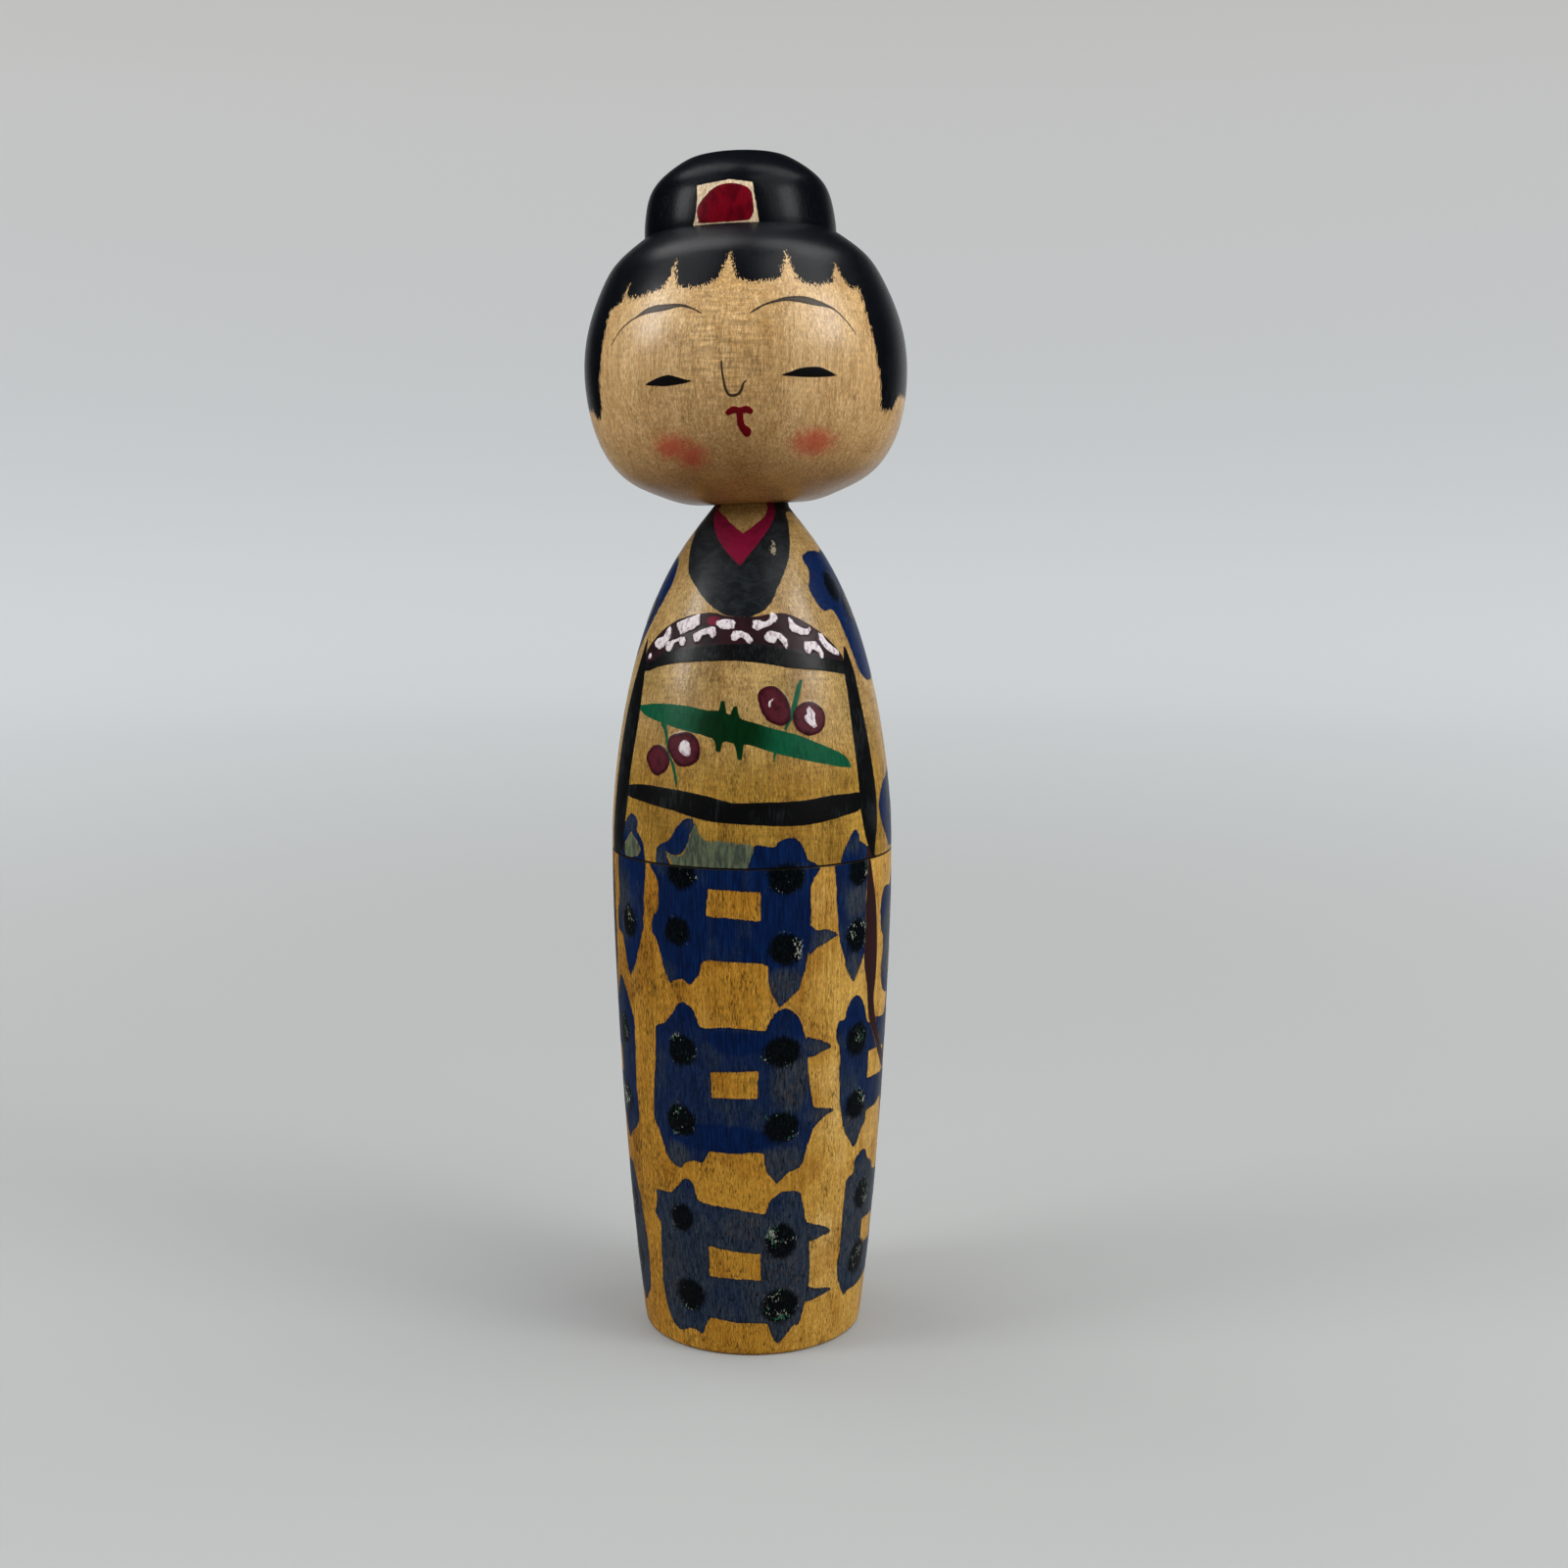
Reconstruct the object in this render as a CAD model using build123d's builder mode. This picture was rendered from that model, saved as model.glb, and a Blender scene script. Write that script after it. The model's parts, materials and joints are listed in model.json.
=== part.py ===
from build123d import *

# Kokeshi doll that opens at the waist, turned from plain wood.
#
# Five pieces, in millimetres, +Z up, the face looking along -Y, the origin at the centre of the foot:
#   lower_body    cup with a bored cavity and a spigot that stands up above the waist
#   upper_body    cap that drops over the spigot, hollow inside, with a mortise for the head
#   head          ball with its own tenon, which turns in the mortise, and a flat seat on its crown
#   topknot       bun of hair that sits on that seat
#   topknot_peg   dowel glued into the head and the topknot
#
# The mortise is bored a little out of true, so the head, the topknot and the peg share one leaning
# axis. Outlines are half sections, each revolved once round its own axis.

import os
from math import cos, radians, sin

# Overall shape: heights above the foot, and outside radii
WAIST_Z = 76.0
NECK_Z = 128.2
FOOT_RADIUS = 17.0
WAIST_RADIUS = 21.65
NECK_RADIUS = 5.6
SKIRT_SWELL = [(18.15, 10.0), (19.85, 30.0), (20.95, 50.0)]
TORSO_SWELL = [(20.4, 92.0), (18.0, 104.0), (14.2, 115.0), (10.0, 122.5)]
NECK_SLOPE = (-0.62, 0.78)

# Waist joint
SPIGOT_RADIUS = 16.5
SPIGOT_HEIGHT = 11.0
RUNNING_CLEARANCE = 0.05
SOCKET_END_GAP = 0.3
WAIST_BREAK = 0.15

# Hollows
CAVITY_RADIUS = 14.0
CAVITY_FLOOR_Z = 9.0
FLOOR_FILLET = 1.5
CAP_HOLLOW_RADIUS = 13.0
CAP_HOLLOW_TOP_Z = 104.0
CAP_HOLLOW_FILLET = 5.0
LIP_CHAMFER = 0.6
FOOT_FILLET = 0.6

# Neck joint
HEAD_LEAN = radians(2.2)
NECK_GAP = 0.3
TENON_RADIUS = 4.0
TENON_LENGTH = 13.0
TENON_CHAMFER = 0.8
MORTISE_END_GAP = 0.8

# Head and topknot, as radius and height above the underside of the head
CHIN_FLAT_RADIUS = 7.5
HEAD_SWELL = [(13.6, 1.5), (18.4, 4.0), (21.95, 8.5), (24.0, 16.0), (23.4, 26.0), (20.6, 33.0)]
CROWN_RADIUS = 14.3
CROWN_HEIGHT = 39.3
CROWN_SLOPE = (-0.82, 0.57)
TOPKNOT_SWELL = [(14.0, 42.6), (12.8, 46.3), (9.1, 49.6)]
TOPKNOT_TOP = 51.0

# Topknot dowel
PEG_RADIUS = 2.5
GLUE_GAP = 0.05
PEG_LENGTH = 18.0
PEG_HOLE_DEPTH = 9.4
PEG_CHAMFER = 0.4

SOCKET_RADIUS = SPIGOT_RADIUS + RUNNING_CLEARANCE
SPIGOT_TOP_Z = WAIST_Z + SPIGOT_HEIGHT
SOCKET_TOP_Z = SPIGOT_TOP_Z + SOCKET_END_GAP
UPRIGHT = (0, 1)
LEVEL_IN = (-1, 0)
LEVEL_OUT = (1, 0)

# The head's axis leans towards -X. One plane holds its half section, the other is square to the axis.
HEAD_ORIGIN = (0, 0, NECK_Z + NECK_GAP)
HEAD_SIDE = (cos(HEAD_LEAN), 0, sin(HEAD_LEAN))
HEAD_UP = (-sin(HEAD_LEAN), 0, cos(HEAD_LEAN))
HEAD_SECTION = Plane(origin=HEAD_ORIGIN, x_dir=HEAD_SIDE, z_dir=(0, -1, 0))
HEAD_LEVEL = Plane(origin=HEAD_ORIGIN, x_dir=HEAD_SIDE, z_dir=HEAD_UP)
HEAD_AXIS = Axis(HEAD_ORIGIN, HEAD_UP)
CROWN_LEVEL = HEAD_LEVEL.offset(CROWN_HEIGHT)


def circle_at(part, height, radius):
    """The round edges of an upright piece at this height and radius."""
    level = part.edges().filter_by(GeomType.CIRCLE).filter_by_position(Axis.Z, height - 0.01, height + 0.01)
    return [edge for edge in level if abs(edge.radius - radius) < 0.01]


# Lower body: the skirt, a cup whose spigot locates the upper body
with BuildPart() as lower_body:
    with BuildSketch(Plane.XZ):
        with BuildLine():
            Line((0, 0), (FOOT_RADIUS, 0))
            Spline((FOOT_RADIUS, 0), *SKIRT_SWELL, (WAIST_RADIUS, WAIST_Z), tangents=[(0.13, 1), UPRIGHT])
            Polyline(
                (WAIST_RADIUS, WAIST_Z),
                (SPIGOT_RADIUS, WAIST_Z),
                (SPIGOT_RADIUS, SPIGOT_TOP_Z),
                (CAVITY_RADIUS, SPIGOT_TOP_Z),
                (CAVITY_RADIUS, CAVITY_FLOOR_Z),
                (0, CAVITY_FLOOR_Z),
                (0, 0),
            )
        make_face()
    revolve(axis=Axis.Z)
    fillet(circle_at(lower_body, 0, FOOT_RADIUS), FOOT_FILLET)
    fillet(circle_at(lower_body, CAVITY_FLOOR_Z, CAVITY_RADIUS), FLOOR_FILLET)
    chamfer(circle_at(lower_body, WAIST_Z, WAIST_RADIUS), WAIST_BREAK)
    chamfer(circle_at(lower_body, SPIGOT_TOP_Z, SPIGOT_RADIUS), LIP_CHAMFER)
    chamfer(circle_at(lower_body, SPIGOT_TOP_Z, CAVITY_RADIUS), LIP_CHAMFER)

# Upper body: the torso, a cap with a socket for the spigot, a hollow above it and the neck mortise
with BuildPart() as upper_body:
    with BuildSketch(Plane.XZ):
        with BuildLine():
            Line((SOCKET_RADIUS, WAIST_Z), (WAIST_RADIUS, WAIST_Z))
            Spline((WAIST_RADIUS, WAIST_Z), *TORSO_SWELL, (NECK_RADIUS, NECK_Z), tangents=[UPRIGHT, NECK_SLOPE])
            Polyline(
                (NECK_RADIUS, NECK_Z),
                (0, NECK_Z),
                (0, CAP_HOLLOW_TOP_Z),
                (CAP_HOLLOW_RADIUS, CAP_HOLLOW_TOP_Z),
                (CAP_HOLLOW_RADIUS, SOCKET_TOP_Z),
                (SOCKET_RADIUS, SOCKET_TOP_Z),
                (SOCKET_RADIUS, WAIST_Z),
            )
        make_face()
    revolve(axis=Axis.Z)
    fillet(circle_at(upper_body, CAP_HOLLOW_TOP_Z, CAP_HOLLOW_RADIUS), CAP_HOLLOW_FILLET)
    chamfer(circle_at(upper_body, WAIST_Z, WAIST_RADIUS), WAIST_BREAK)
    chamfer(circle_at(upper_body, WAIST_Z, SOCKET_RADIUS), WAIST_BREAK)
    with BuildSketch(HEAD_LEVEL):
        Circle(TENON_RADIUS + RUNNING_CLEARANCE)
    extrude(amount=-(TENON_LENGTH + MORTISE_END_GAP), mode=Mode.SUBTRACT)

# Head: a ball, wider than it is high, with its tenon below and the topknot's seat on top
with BuildPart() as head:
    with BuildSketch(HEAD_SECTION):
        with BuildLine():
            Polyline(
                (0, CROWN_HEIGHT),
                (0, -TENON_LENGTH),
                (TENON_RADIUS - TENON_CHAMFER, -TENON_LENGTH),
                (TENON_RADIUS, TENON_CHAMFER - TENON_LENGTH),
                (TENON_RADIUS, 0),
                (CHIN_FLAT_RADIUS, 0),
            )
            Spline(
                (CHIN_FLAT_RADIUS, 0),
                *HEAD_SWELL,
                (CROWN_RADIUS, CROWN_HEIGHT),
                tangents=[LEVEL_OUT, CROWN_SLOPE],
            )
            Line((CROWN_RADIUS, CROWN_HEIGHT), (0, CROWN_HEIGHT))
        make_face()
    revolve(axis=HEAD_AXIS)
    with BuildSketch(CROWN_LEVEL):
        Circle(PEG_RADIUS + GLUE_GAP)
    extrude(amount=-PEG_HOLE_DEPTH, mode=Mode.SUBTRACT)

# Topknot: a domed bun, bored for the dowel
with BuildPart() as topknot:
    with BuildSketch(HEAD_SECTION):
        with BuildLine():
            Polyline((0, TOPKNOT_TOP), (0, CROWN_HEIGHT), (CROWN_RADIUS, CROWN_HEIGHT))
            Spline(
                (CROWN_RADIUS, CROWN_HEIGHT),
                *TOPKNOT_SWELL,
                (0, TOPKNOT_TOP),
                tangents=[UPRIGHT, LEVEL_IN],
            )
        make_face()
    revolve(axis=HEAD_AXIS)
    with BuildSketch(CROWN_LEVEL):
        Circle(PEG_RADIUS + GLUE_GAP)
    extrude(amount=PEG_HOLE_DEPTH, mode=Mode.SUBTRACT)

# Topknot peg: half of its length in the head and half in the topknot
with BuildPart() as topknot_peg:
    with BuildSketch(CROWN_LEVEL):
        Circle(PEG_RADIUS)
    extrude(amount=PEG_LENGTH / 2, both=True)
    chamfer(topknot_peg.edges().filter_by(GeomType.CIRCLE), PEG_CHAMFER)

os.makedirs("parts", exist_ok=True)
pieces = {
    "lower_body": lower_body,
    "upper_body": upper_body,
    "head": head,
    "topknot": topknot,
    "topknot_peg": topknot_peg,
}
for label, piece in pieces.items():
    piece.part.label = label
    export_step(piece.part, f"parts/{label}.step")
    print(label, "volume", round(piece.part.volume), "mm3")
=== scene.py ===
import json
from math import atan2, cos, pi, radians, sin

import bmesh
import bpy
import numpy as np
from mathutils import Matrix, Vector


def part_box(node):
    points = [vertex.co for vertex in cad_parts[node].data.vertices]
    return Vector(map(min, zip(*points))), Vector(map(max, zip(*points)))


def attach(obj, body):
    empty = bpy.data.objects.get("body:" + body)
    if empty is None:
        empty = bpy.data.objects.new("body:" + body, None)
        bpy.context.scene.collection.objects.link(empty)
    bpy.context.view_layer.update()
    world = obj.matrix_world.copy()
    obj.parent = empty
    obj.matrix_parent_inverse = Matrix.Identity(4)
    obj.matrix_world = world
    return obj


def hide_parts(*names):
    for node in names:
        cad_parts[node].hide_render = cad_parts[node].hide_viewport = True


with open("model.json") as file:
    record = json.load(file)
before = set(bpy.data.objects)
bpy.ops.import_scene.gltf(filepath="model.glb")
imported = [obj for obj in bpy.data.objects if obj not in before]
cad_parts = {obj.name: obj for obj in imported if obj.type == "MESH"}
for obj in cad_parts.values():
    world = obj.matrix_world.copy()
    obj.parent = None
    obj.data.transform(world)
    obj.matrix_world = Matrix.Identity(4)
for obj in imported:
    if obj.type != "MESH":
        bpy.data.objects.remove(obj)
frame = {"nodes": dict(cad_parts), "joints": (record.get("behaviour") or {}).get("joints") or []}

# Kokeshi doll: the turned pieces of the frame as dense meshes, with the brushwork laid on them.
#
# Shapes and paint are in millimetres. Each piece's half section is read off its CAD node and turned
# again with finer rings. The paint is drawn on a chart of the surface: degrees round the doll from the
# front (-Y), positive towards +X, and millimetres up from the foot, or from the head's underside.
# Each colour's distance to its nearest edge is stored on the mesh, and the material paints inside it.

MM = 0.001
FAR = 3.0  # the largest distance to a paint edge that is stored
CORNER = radians(22)  # a half section that turns by more than this has an edge there
CURVE_PARTS = 4  # places on a smooth curve for each point of its outline
PAINT_EDGE = 0.35  # the width over which thick paint rises from the wood

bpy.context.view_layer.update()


# ---------------------------------------------------------------- the doll's axes, from the frame

head_turn = next(j for j in frame["joints"] if j["name"] == "head_turn")
LEAN = atan2(-head_turn["axis"][0], head_turn["axis"][2])
HEAD_ORIGIN = np.array(head_turn["pos_m"]) / MM
HEAD_SIDE = np.array([cos(LEAN), 0, sin(LEAN)])
HEAD_UP = np.array([-sin(LEAN), 0, cos(LEAN)])
UPRIGHT = (np.zeros(3), np.array([1.0, 0, 0]), np.array([0, 0, 1.0]))
LEANING = (HEAD_ORIGIN, HEAD_SIDE, HEAD_UP)
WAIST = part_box("upper_body")[0].z / MM
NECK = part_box("upper_body")[1].z / MM
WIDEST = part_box("lower_body")[1].x / MM


# ---------------------------------------------------------------- half sections

def half_section(node, axis):
    """The node's half section, as (radius, height) from axis to axis. It is walked along the mesh's seam,
    and across a flat ring, which has no seam, to the next point at the same height."""
    origin, side, up = axis
    mesh = frame["nodes"][node].data
    points = np.array([v.co for v in mesh.vertices]) / MM - origin
    forward = np.cross(up, side)
    across, depth, height = points @ side, points @ forward, points @ up
    on_seam = np.flatnonzero((abs(depth) < 1e-3) & (across > -1e-3))
    key = {i: (round(across[i], 3), round(height[i], 3)) for i in on_seam}
    steps = {k: set() for k in key.values()}
    for edge in mesh.edges:
        a, b = (key.get(i) for i in edge.vertices)
        if a and b and a != b:
            steps[a].add(b)
            steps[b].add(a)
    ends = [k for k in steps if len(steps[k]) == 1]
    for a in ends:
        for b in ends:
            if a != b and abs(a[1] - b[1]) < 2e-3:
                steps[a].add(b)
    start = min((k for k in steps if len(steps[k]) == 1), key=lambda k: k[1])
    walk, last = [start], None
    while True:
        onward = [k for k in steps[walk[-1]] if k != last]
        if not onward:
            break
        last = walk[-1]
        walk.append(onward[0])
    if walk[0][0] > 1e-2:
        walk.insert(0, (0.0, walk[0][1]))
    if walk[-1][0] > 1e-2:
        walk.append((0.0, walk[-1][1]))
    return walk


def smooth_stations(walk, step_at):
    """Stations (radius, height, sharp) along a section. Runs between corners are cubic, and step_at gives
    the spacing that a place needs."""
    points = np.array(walk)
    legs = np.diff(points, axis=0)
    length = np.hypot(*legs.T)
    heading = np.arctan2(legs[:, 1], legs[:, 0])
    turn = abs((np.diff(heading) + pi) % (2 * pi) - pi)
    sharp = [True, *(turn > CORNER), True]
    slope = legs / length[:, None]
    stations = []
    for i in range(len(legs)):
        start_slope, end_slope = slope[i], slope[i]
        if not sharp[i]:
            weight = length[i - 1] / (length[i - 1] + length[i])
            start_slope = slope[i - 1] * (1 - weight) + slope[i] * weight
        if not sharp[i + 1]:
            weight = length[i] / (length[i] + length[i + 1])
            end_slope = slope[i] * (1 - weight) + slope[i + 1] * weight
        middle = (points[i] + points[i + 1]) / 2
        count = max(1, round(length[i] / step_at(*middle)))
        for k in range(count):
            t = k / count
            place = (
                (2 * t**3 - 3 * t**2 + 1) * points[i]
                + (t**3 - 2 * t**2 + t) * start_slope * length[i]
                + (3 * t**2 - 2 * t**3) * points[i + 1]
                + (t**3 - t**2) * end_slope * length[i]
            )
            stations.append((*place, k == 0 and sharp[i]))
    stations.append((*points[-1], True))
    return stations


def ring_angles(fine_half, fine_step, coarse_step):
    """Degrees round the piece: close together within fine_half of the front, wider behind."""
    fine = np.linspace(-fine_half, fine_half, round(2 * fine_half / fine_step) + 1)
    rest = 360 - 2 * fine_half
    coarse = np.linspace(fine_half, fine_half + rest, round(rest / coarse_step) + 1)[1:-1]
    return np.concatenate([fine, coarse])


# ---------------------------------------------------------------- the chart, and distances on it

class Chart:
    """Each vertex of a turned piece: degrees round, height, radius, and whether it can be painted."""

    def __init__(self, degrees_round, height, radius, painted):
        self.degrees, self.height, self.radius, self.painted = degrees_round, height, radius, painted

    def flat(self, outline):
        """The vertices and the outline in mm, both flattened at the outline's own place."""
        outline = np.array(outline, float)
        middle_deg, middle_height = outline[:, 0].mean(), outline[:, 1].mean()
        near = self.painted & (abs(self.height - middle_height) < 1)
        radius = self.radius[near].mean() if near.any() else WIDEST
        per_degree = radians(radius)
        away = (self.degrees - middle_deg + 180) % 360 - 180
        vertices = np.stack([away * per_degree, self.height], 1)
        outline = np.stack([(outline[:, 0] - middle_deg) * per_degree, outline[:, 1]], 1)
        return vertices, outline


def rounded(outline, closed=True):
    """A smooth curve through the outline's points."""
    points = np.array(outline, float)
    count = len(points)
    if closed:
        before, after, beyond = (np.roll(points, k, 0) for k in (1, -1, -2))
        starts = points
    else:
        padded = np.vstack([points[:1], points, points[-1:]])
        before, starts, after, beyond = padded[:-3], padded[1:-2], padded[2:-1], padded[3:]
    curve = []
    for k in range(CURVE_PARTS):
        t = k / CURVE_PARTS
        curve.append(
            starts
            + 0.5 * t * (after - before)
            + t**2 * (before - 2.5 * starts + 2 * after - 0.5 * beyond)
            + t**3 * (1.5 * (starts - after) + 0.5 * (beyond - before))
        )
    curve = np.stack(curve, 1).reshape(-1, points.shape[1])
    return curve if closed else np.vstack([curve, points[-1:]])


def along(points, starts, ends):
    """For each point and segment: the distance between them, and how far along the nearest place is."""
    leg = ends - starts
    gap = points[:, None] - starts[None]
    share = (gap * leg).sum(2) / np.maximum((leg**2).sum(1), 1e-12)
    share = np.clip(share, 0, 1)
    return np.hypot(*np.moveaxis(gap - share[..., None] * leg, 2, 0)), share


def nearby(chart, vertices, outline, margin):
    """Indices of the paintable vertices within margin of the outline's box."""
    low, high = outline.min(0) - margin, outline.max(0) + margin
    inside = ((vertices > low) & (vertices < high)).all(1) & chart.painted
    return np.flatnonzero(inside)


def area(chart, outline, smooth=True):
    """Distance to a closed outline, negative inside it."""
    vertices, edge = chart.flat(rounded(outline) if smooth else outline)
    found = np.full(len(vertices), FAR)
    near = nearby(chart, vertices, edge, FAR)
    for part in np.array_split(near, max(1, len(near) // 20000)):
        spots = vertices[part]
        ends = np.roll(edge, -1, 0)
        distance = along(spots, edge, ends)[0].min(1)
        above = edge[None, :, 1] > spots[:, None, 1]
        crosses = above != np.roll(above, -1, 1)
        rise = np.where(edge[:, 1] == ends[:, 1], 1e-9, ends[:, 1] - edge[:, 1])
        where = edge[:, 0] + (spots[:, None, 1] - edge[:, 1]) * (ends[:, 0] - edge[:, 0]) / rise
        inside = (crosses & (spots[:, None, 0] < where)).sum(1) % 2 == 1
        found[part] = np.where(inside, -distance, distance)
    return np.minimum(found, FAR)


def stroke(chart, route):
    """Distance to a brush stroke's edge. The route's points are (degrees, height, half width)."""
    route = rounded(route, closed=False)
    vertices, line = chart.flat(route[:, :2])
    half = route[:, 2]
    found = np.full(len(vertices), FAR)
    near = nearby(chart, vertices, line, FAR)
    distance, share = along(vertices[near], line[:-1], line[1:])
    found[near] = (distance - (half[:-1] + share * (half[1:] - half[:-1]))).min(1)
    return np.minimum(found, FAR)


def oval(chart, degrees_round, height, half_width, half_height):
    """Distance to an oval, negative inside it, with both half sizes in mm."""
    vertices, _ = chart.flat([(degrees_round, height)])
    x, y = vertices[:, 0] / half_width, (vertices[:, 1] - height) / half_height
    found = (np.hypot(x, y) - 1) * min(half_width, half_height)
    return np.where(chart.painted, np.minimum(found, FAR), FAR)


def union(*distances):
    return np.minimum.reduce(distances)


def without(distance, *holes):
    return np.maximum.reduce([distance, *(-hole for hole in holes)])


def areas(chart, outlines, smooth=True):
    return union(*(area(chart, outline, smooth) for outline in outlines))


def strokes(chart, routes):
    return union(*(stroke(chart, route) for route in routes))


def ovals(chart, places):
    return union(*(oval(chart, *place) for place in places))


def moved(outline, by_degrees=0.0, by_height=0.0, flip=False):
    """The outline carried round and up, mirrored first if flip is set."""
    side = -1 if flip else 1
    return [(side * p[0] + by_degrees, p[1] + by_height, *p[2:]) for p in outline]


def at_the_waist(chart):
    """Distance to the seam round the waist, on the outside only."""
    return np.where(chart.radius > WIDEST - 1, np.minimum(abs(chart.height - WAIST), FAR), FAR)


# ---------------------------------------------------------------- meshes

def turned(name, walks, angles, place, painted, layers, thickness):
    """A piece turned from its walks, each a list of stations from axis to axis. layers(chart) gives the
    paint distances, and thickness says how far each colour stands above the wood, in mm."""
    count = len(angles)
    degrees_round, heights, radii, can_paint, faces, sharp_rings = [], [], [], [], [], []
    for stations in walks:
        rings = []
        for radius, height, sharp in stations:
            here = angles[:1] if radius < 1e-6 else angles
            rings.append(range(len(heights), len(heights) + len(here)))
            degrees_round.extend(here)
            heights.extend([height] * len(here))
            radii.extend([radius] * len(here))
            can_paint.extend([painted(radius, height)] * len(here))
            if sharp and len(here) > 1:
                sharp_rings.append(rings[-1])
        for lower, upper in zip(rings, rings[1:]):
            for i in range(count):
                j = (i + 1) % count
                if len(lower) == 1:
                    faces.append((lower[0], upper[j], upper[i]))
                elif len(upper) == 1:
                    faces.append((lower[i], lower[j], upper[0]))
                else:
                    faces.append((lower[i], lower[j], upper[j], upper[i]))
    chart = Chart(*(np.array(a) for a in (degrees_round, heights, radii, can_paint)))
    paint = layers(chart)
    raised = np.zeros(len(chart.radius))
    for layer, high in thickness.items():
        inside = np.clip(0.5 - paint[layer] / PAINT_EDGE, 0, 1)
        raised = np.maximum(raised, high * inside**2 * (3 - 2 * inside))
    corners = [place(*v) for v in zip(chart.radius + raised, np.radians(chart.degrees), chart.height)]
    mesh = bpy.data.meshes.new(name)
    mesh.from_pydata([tuple(c * MM for c in v) for v in corners], [], faces)
    mesh.validate()
    ring_edges = {frozenset((r[i], r[(i + 1) % count])) for r in sharp_rings for i in range(count)}
    build = bmesh.new()
    build.from_mesh(mesh)
    bmesh.ops.recalc_face_normals(build, faces=build.faces)
    for face in build.faces:
        face.smooth = True
    for edge in build.edges:
        edge.smooth = frozenset(v.index for v in edge.verts) not in ring_edges
    build.to_mesh(mesh)
    build.free()
    for layer, distance in paint.items():
        values = mesh.attributes.new(layer, "FLOAT", "POINT").data
        values.foreach_set("value", distance.astype(np.float32))
    piece = bpy.data.objects.new(name, mesh)
    bpy.context.scene.collection.objects.link(piece)
    return piece


# ---------------------------------------------------------------- shader helpers

class Nodes:
    """A node tree, written as expressions: each method adds a node and returns its output."""

    def __init__(self, tree):
        self.tree = tree
        self.tree.nodes.clear()

    def add(self, kind, **settings):
        node = self.tree.nodes.new(kind)
        for key, value in settings.items():
            setattr(node, key, value)
        return node

    def set(self, socket, value):
        if isinstance(value, bpy.types.NodeSocket):
            self.tree.links.new(value, socket)
        elif isinstance(value, tuple) and len(value) == 3 and socket.type == "RGBA":
            socket.default_value = (*value, 1)
        else:
            socket.default_value = value

    def vector(self, operation, a, b=(0, 0, 0), scale=1.0):
        node = self.add("ShaderNodeVectorMath", operation=operation)
        self.set(node.inputs[0], a)
        self.set(node.inputs[1], b)
        if operation == "SCALE":
            self.set(node.inputs[3], scale)
        return node.outputs[0]

    def math(self, operation, a, b=0.0, c=0.0, clamp=False):
        node = self.add("ShaderNodeMath", operation=operation, use_clamp=clamp)
        for socket, value in zip(node.inputs, (a, b, c)):
            self.set(socket, value)
        return node.outputs[0]

    def step(self, value, low, high, start=0.0, end=1.0):
        """Rises smoothly from start to end as value goes from low to high."""
        node = self.add("ShaderNodeMapRange", interpolation_type="SMOOTHSTEP")
        sockets = ("Value", "From Min", "From Max", "To Min", "To Max")
        for socket, v in zip(sockets, (value, low, high, start, end)):
            self.set(node.inputs[socket], v)
        return node.outputs[0]

    def mix(self, a, b, share):
        node = self.add("ShaderNodeMix", data_type="RGBA")
        self.set(node.inputs[6], a)
        self.set(node.inputs[7], b)
        self.set(node.inputs[0], share)
        return node.outputs[2]

    def blend(self, a, b, share):
        node = self.add("ShaderNodeMix", data_type="FLOAT")
        self.set(node.inputs[2], a)
        self.set(node.inputs[3], b)
        self.set(node.inputs[0], share)
        return node.outputs[0]

    def dim(self, colour, amount):
        """The colour times a number."""
        return self.vector("SCALE", colour, scale=amount)


class Graph(Nodes):
    """A material's nodes. place, side (X) and height (Z) are the object's own coordinates, in mm."""

    def __init__(self, name):
        self.material = bpy.data.materials.new(name)
        self.material.use_nodes = True
        super().__init__(self.material.node_tree)
        self.shader = self.add("ShaderNodeBsdfPrincipled")
        output = self.add("ShaderNodeOutputMaterial")
        self.tree.links.new(self.shader.outputs[0], output.inputs[0])
        place = self.add("ShaderNodeTexCoord").outputs["Object"]
        self.place = self.vector("SCALE", place, scale=1 / MM)
        split = self.add("ShaderNodeSeparateXYZ")
        self.tree.links.new(self.place, split.inputs[0])
        self.side, self.height = split.outputs[0], split.outputs[2]

    def noise(self, across, along_grain=None, detail=2.0, rough=0.5, shift=0.0, warp=0.0):
        """Noise about 0.5, with features `across` mm wide and `along_grain` mm tall."""
        tall = along_grain or across
        stretch = self.vector("MULTIPLY", self.place, (1 / across, 1 / across, 1 / tall))
        stretch = self.vector("ADD", stretch, (shift, shift * 0.7, shift * 1.3))
        node = self.add("ShaderNodeTexNoise")
        self.set(node.inputs["Vector"], stretch)
        self.set(node.inputs["Scale"], 1.0)
        self.set(node.inputs["Detail"], detail)
        self.set(node.inputs["Roughness"], rough)
        self.set(node.inputs["Distortion"], warp)
        return node.outputs["Fac"]

    def layer(self, name):
        node = self.add("ShaderNodeAttribute", attribute_name=name)
        return node.outputs["Fac"]

    def bump(self, height, strength, distance):
        node = self.add("ShaderNodeBump")
        self.set(node.inputs["Strength"], strength)
        self.set(node.inputs["Distance"], distance * MM)
        self.set(node.inputs["Height"], height)
        return node.outputs[0]


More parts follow.
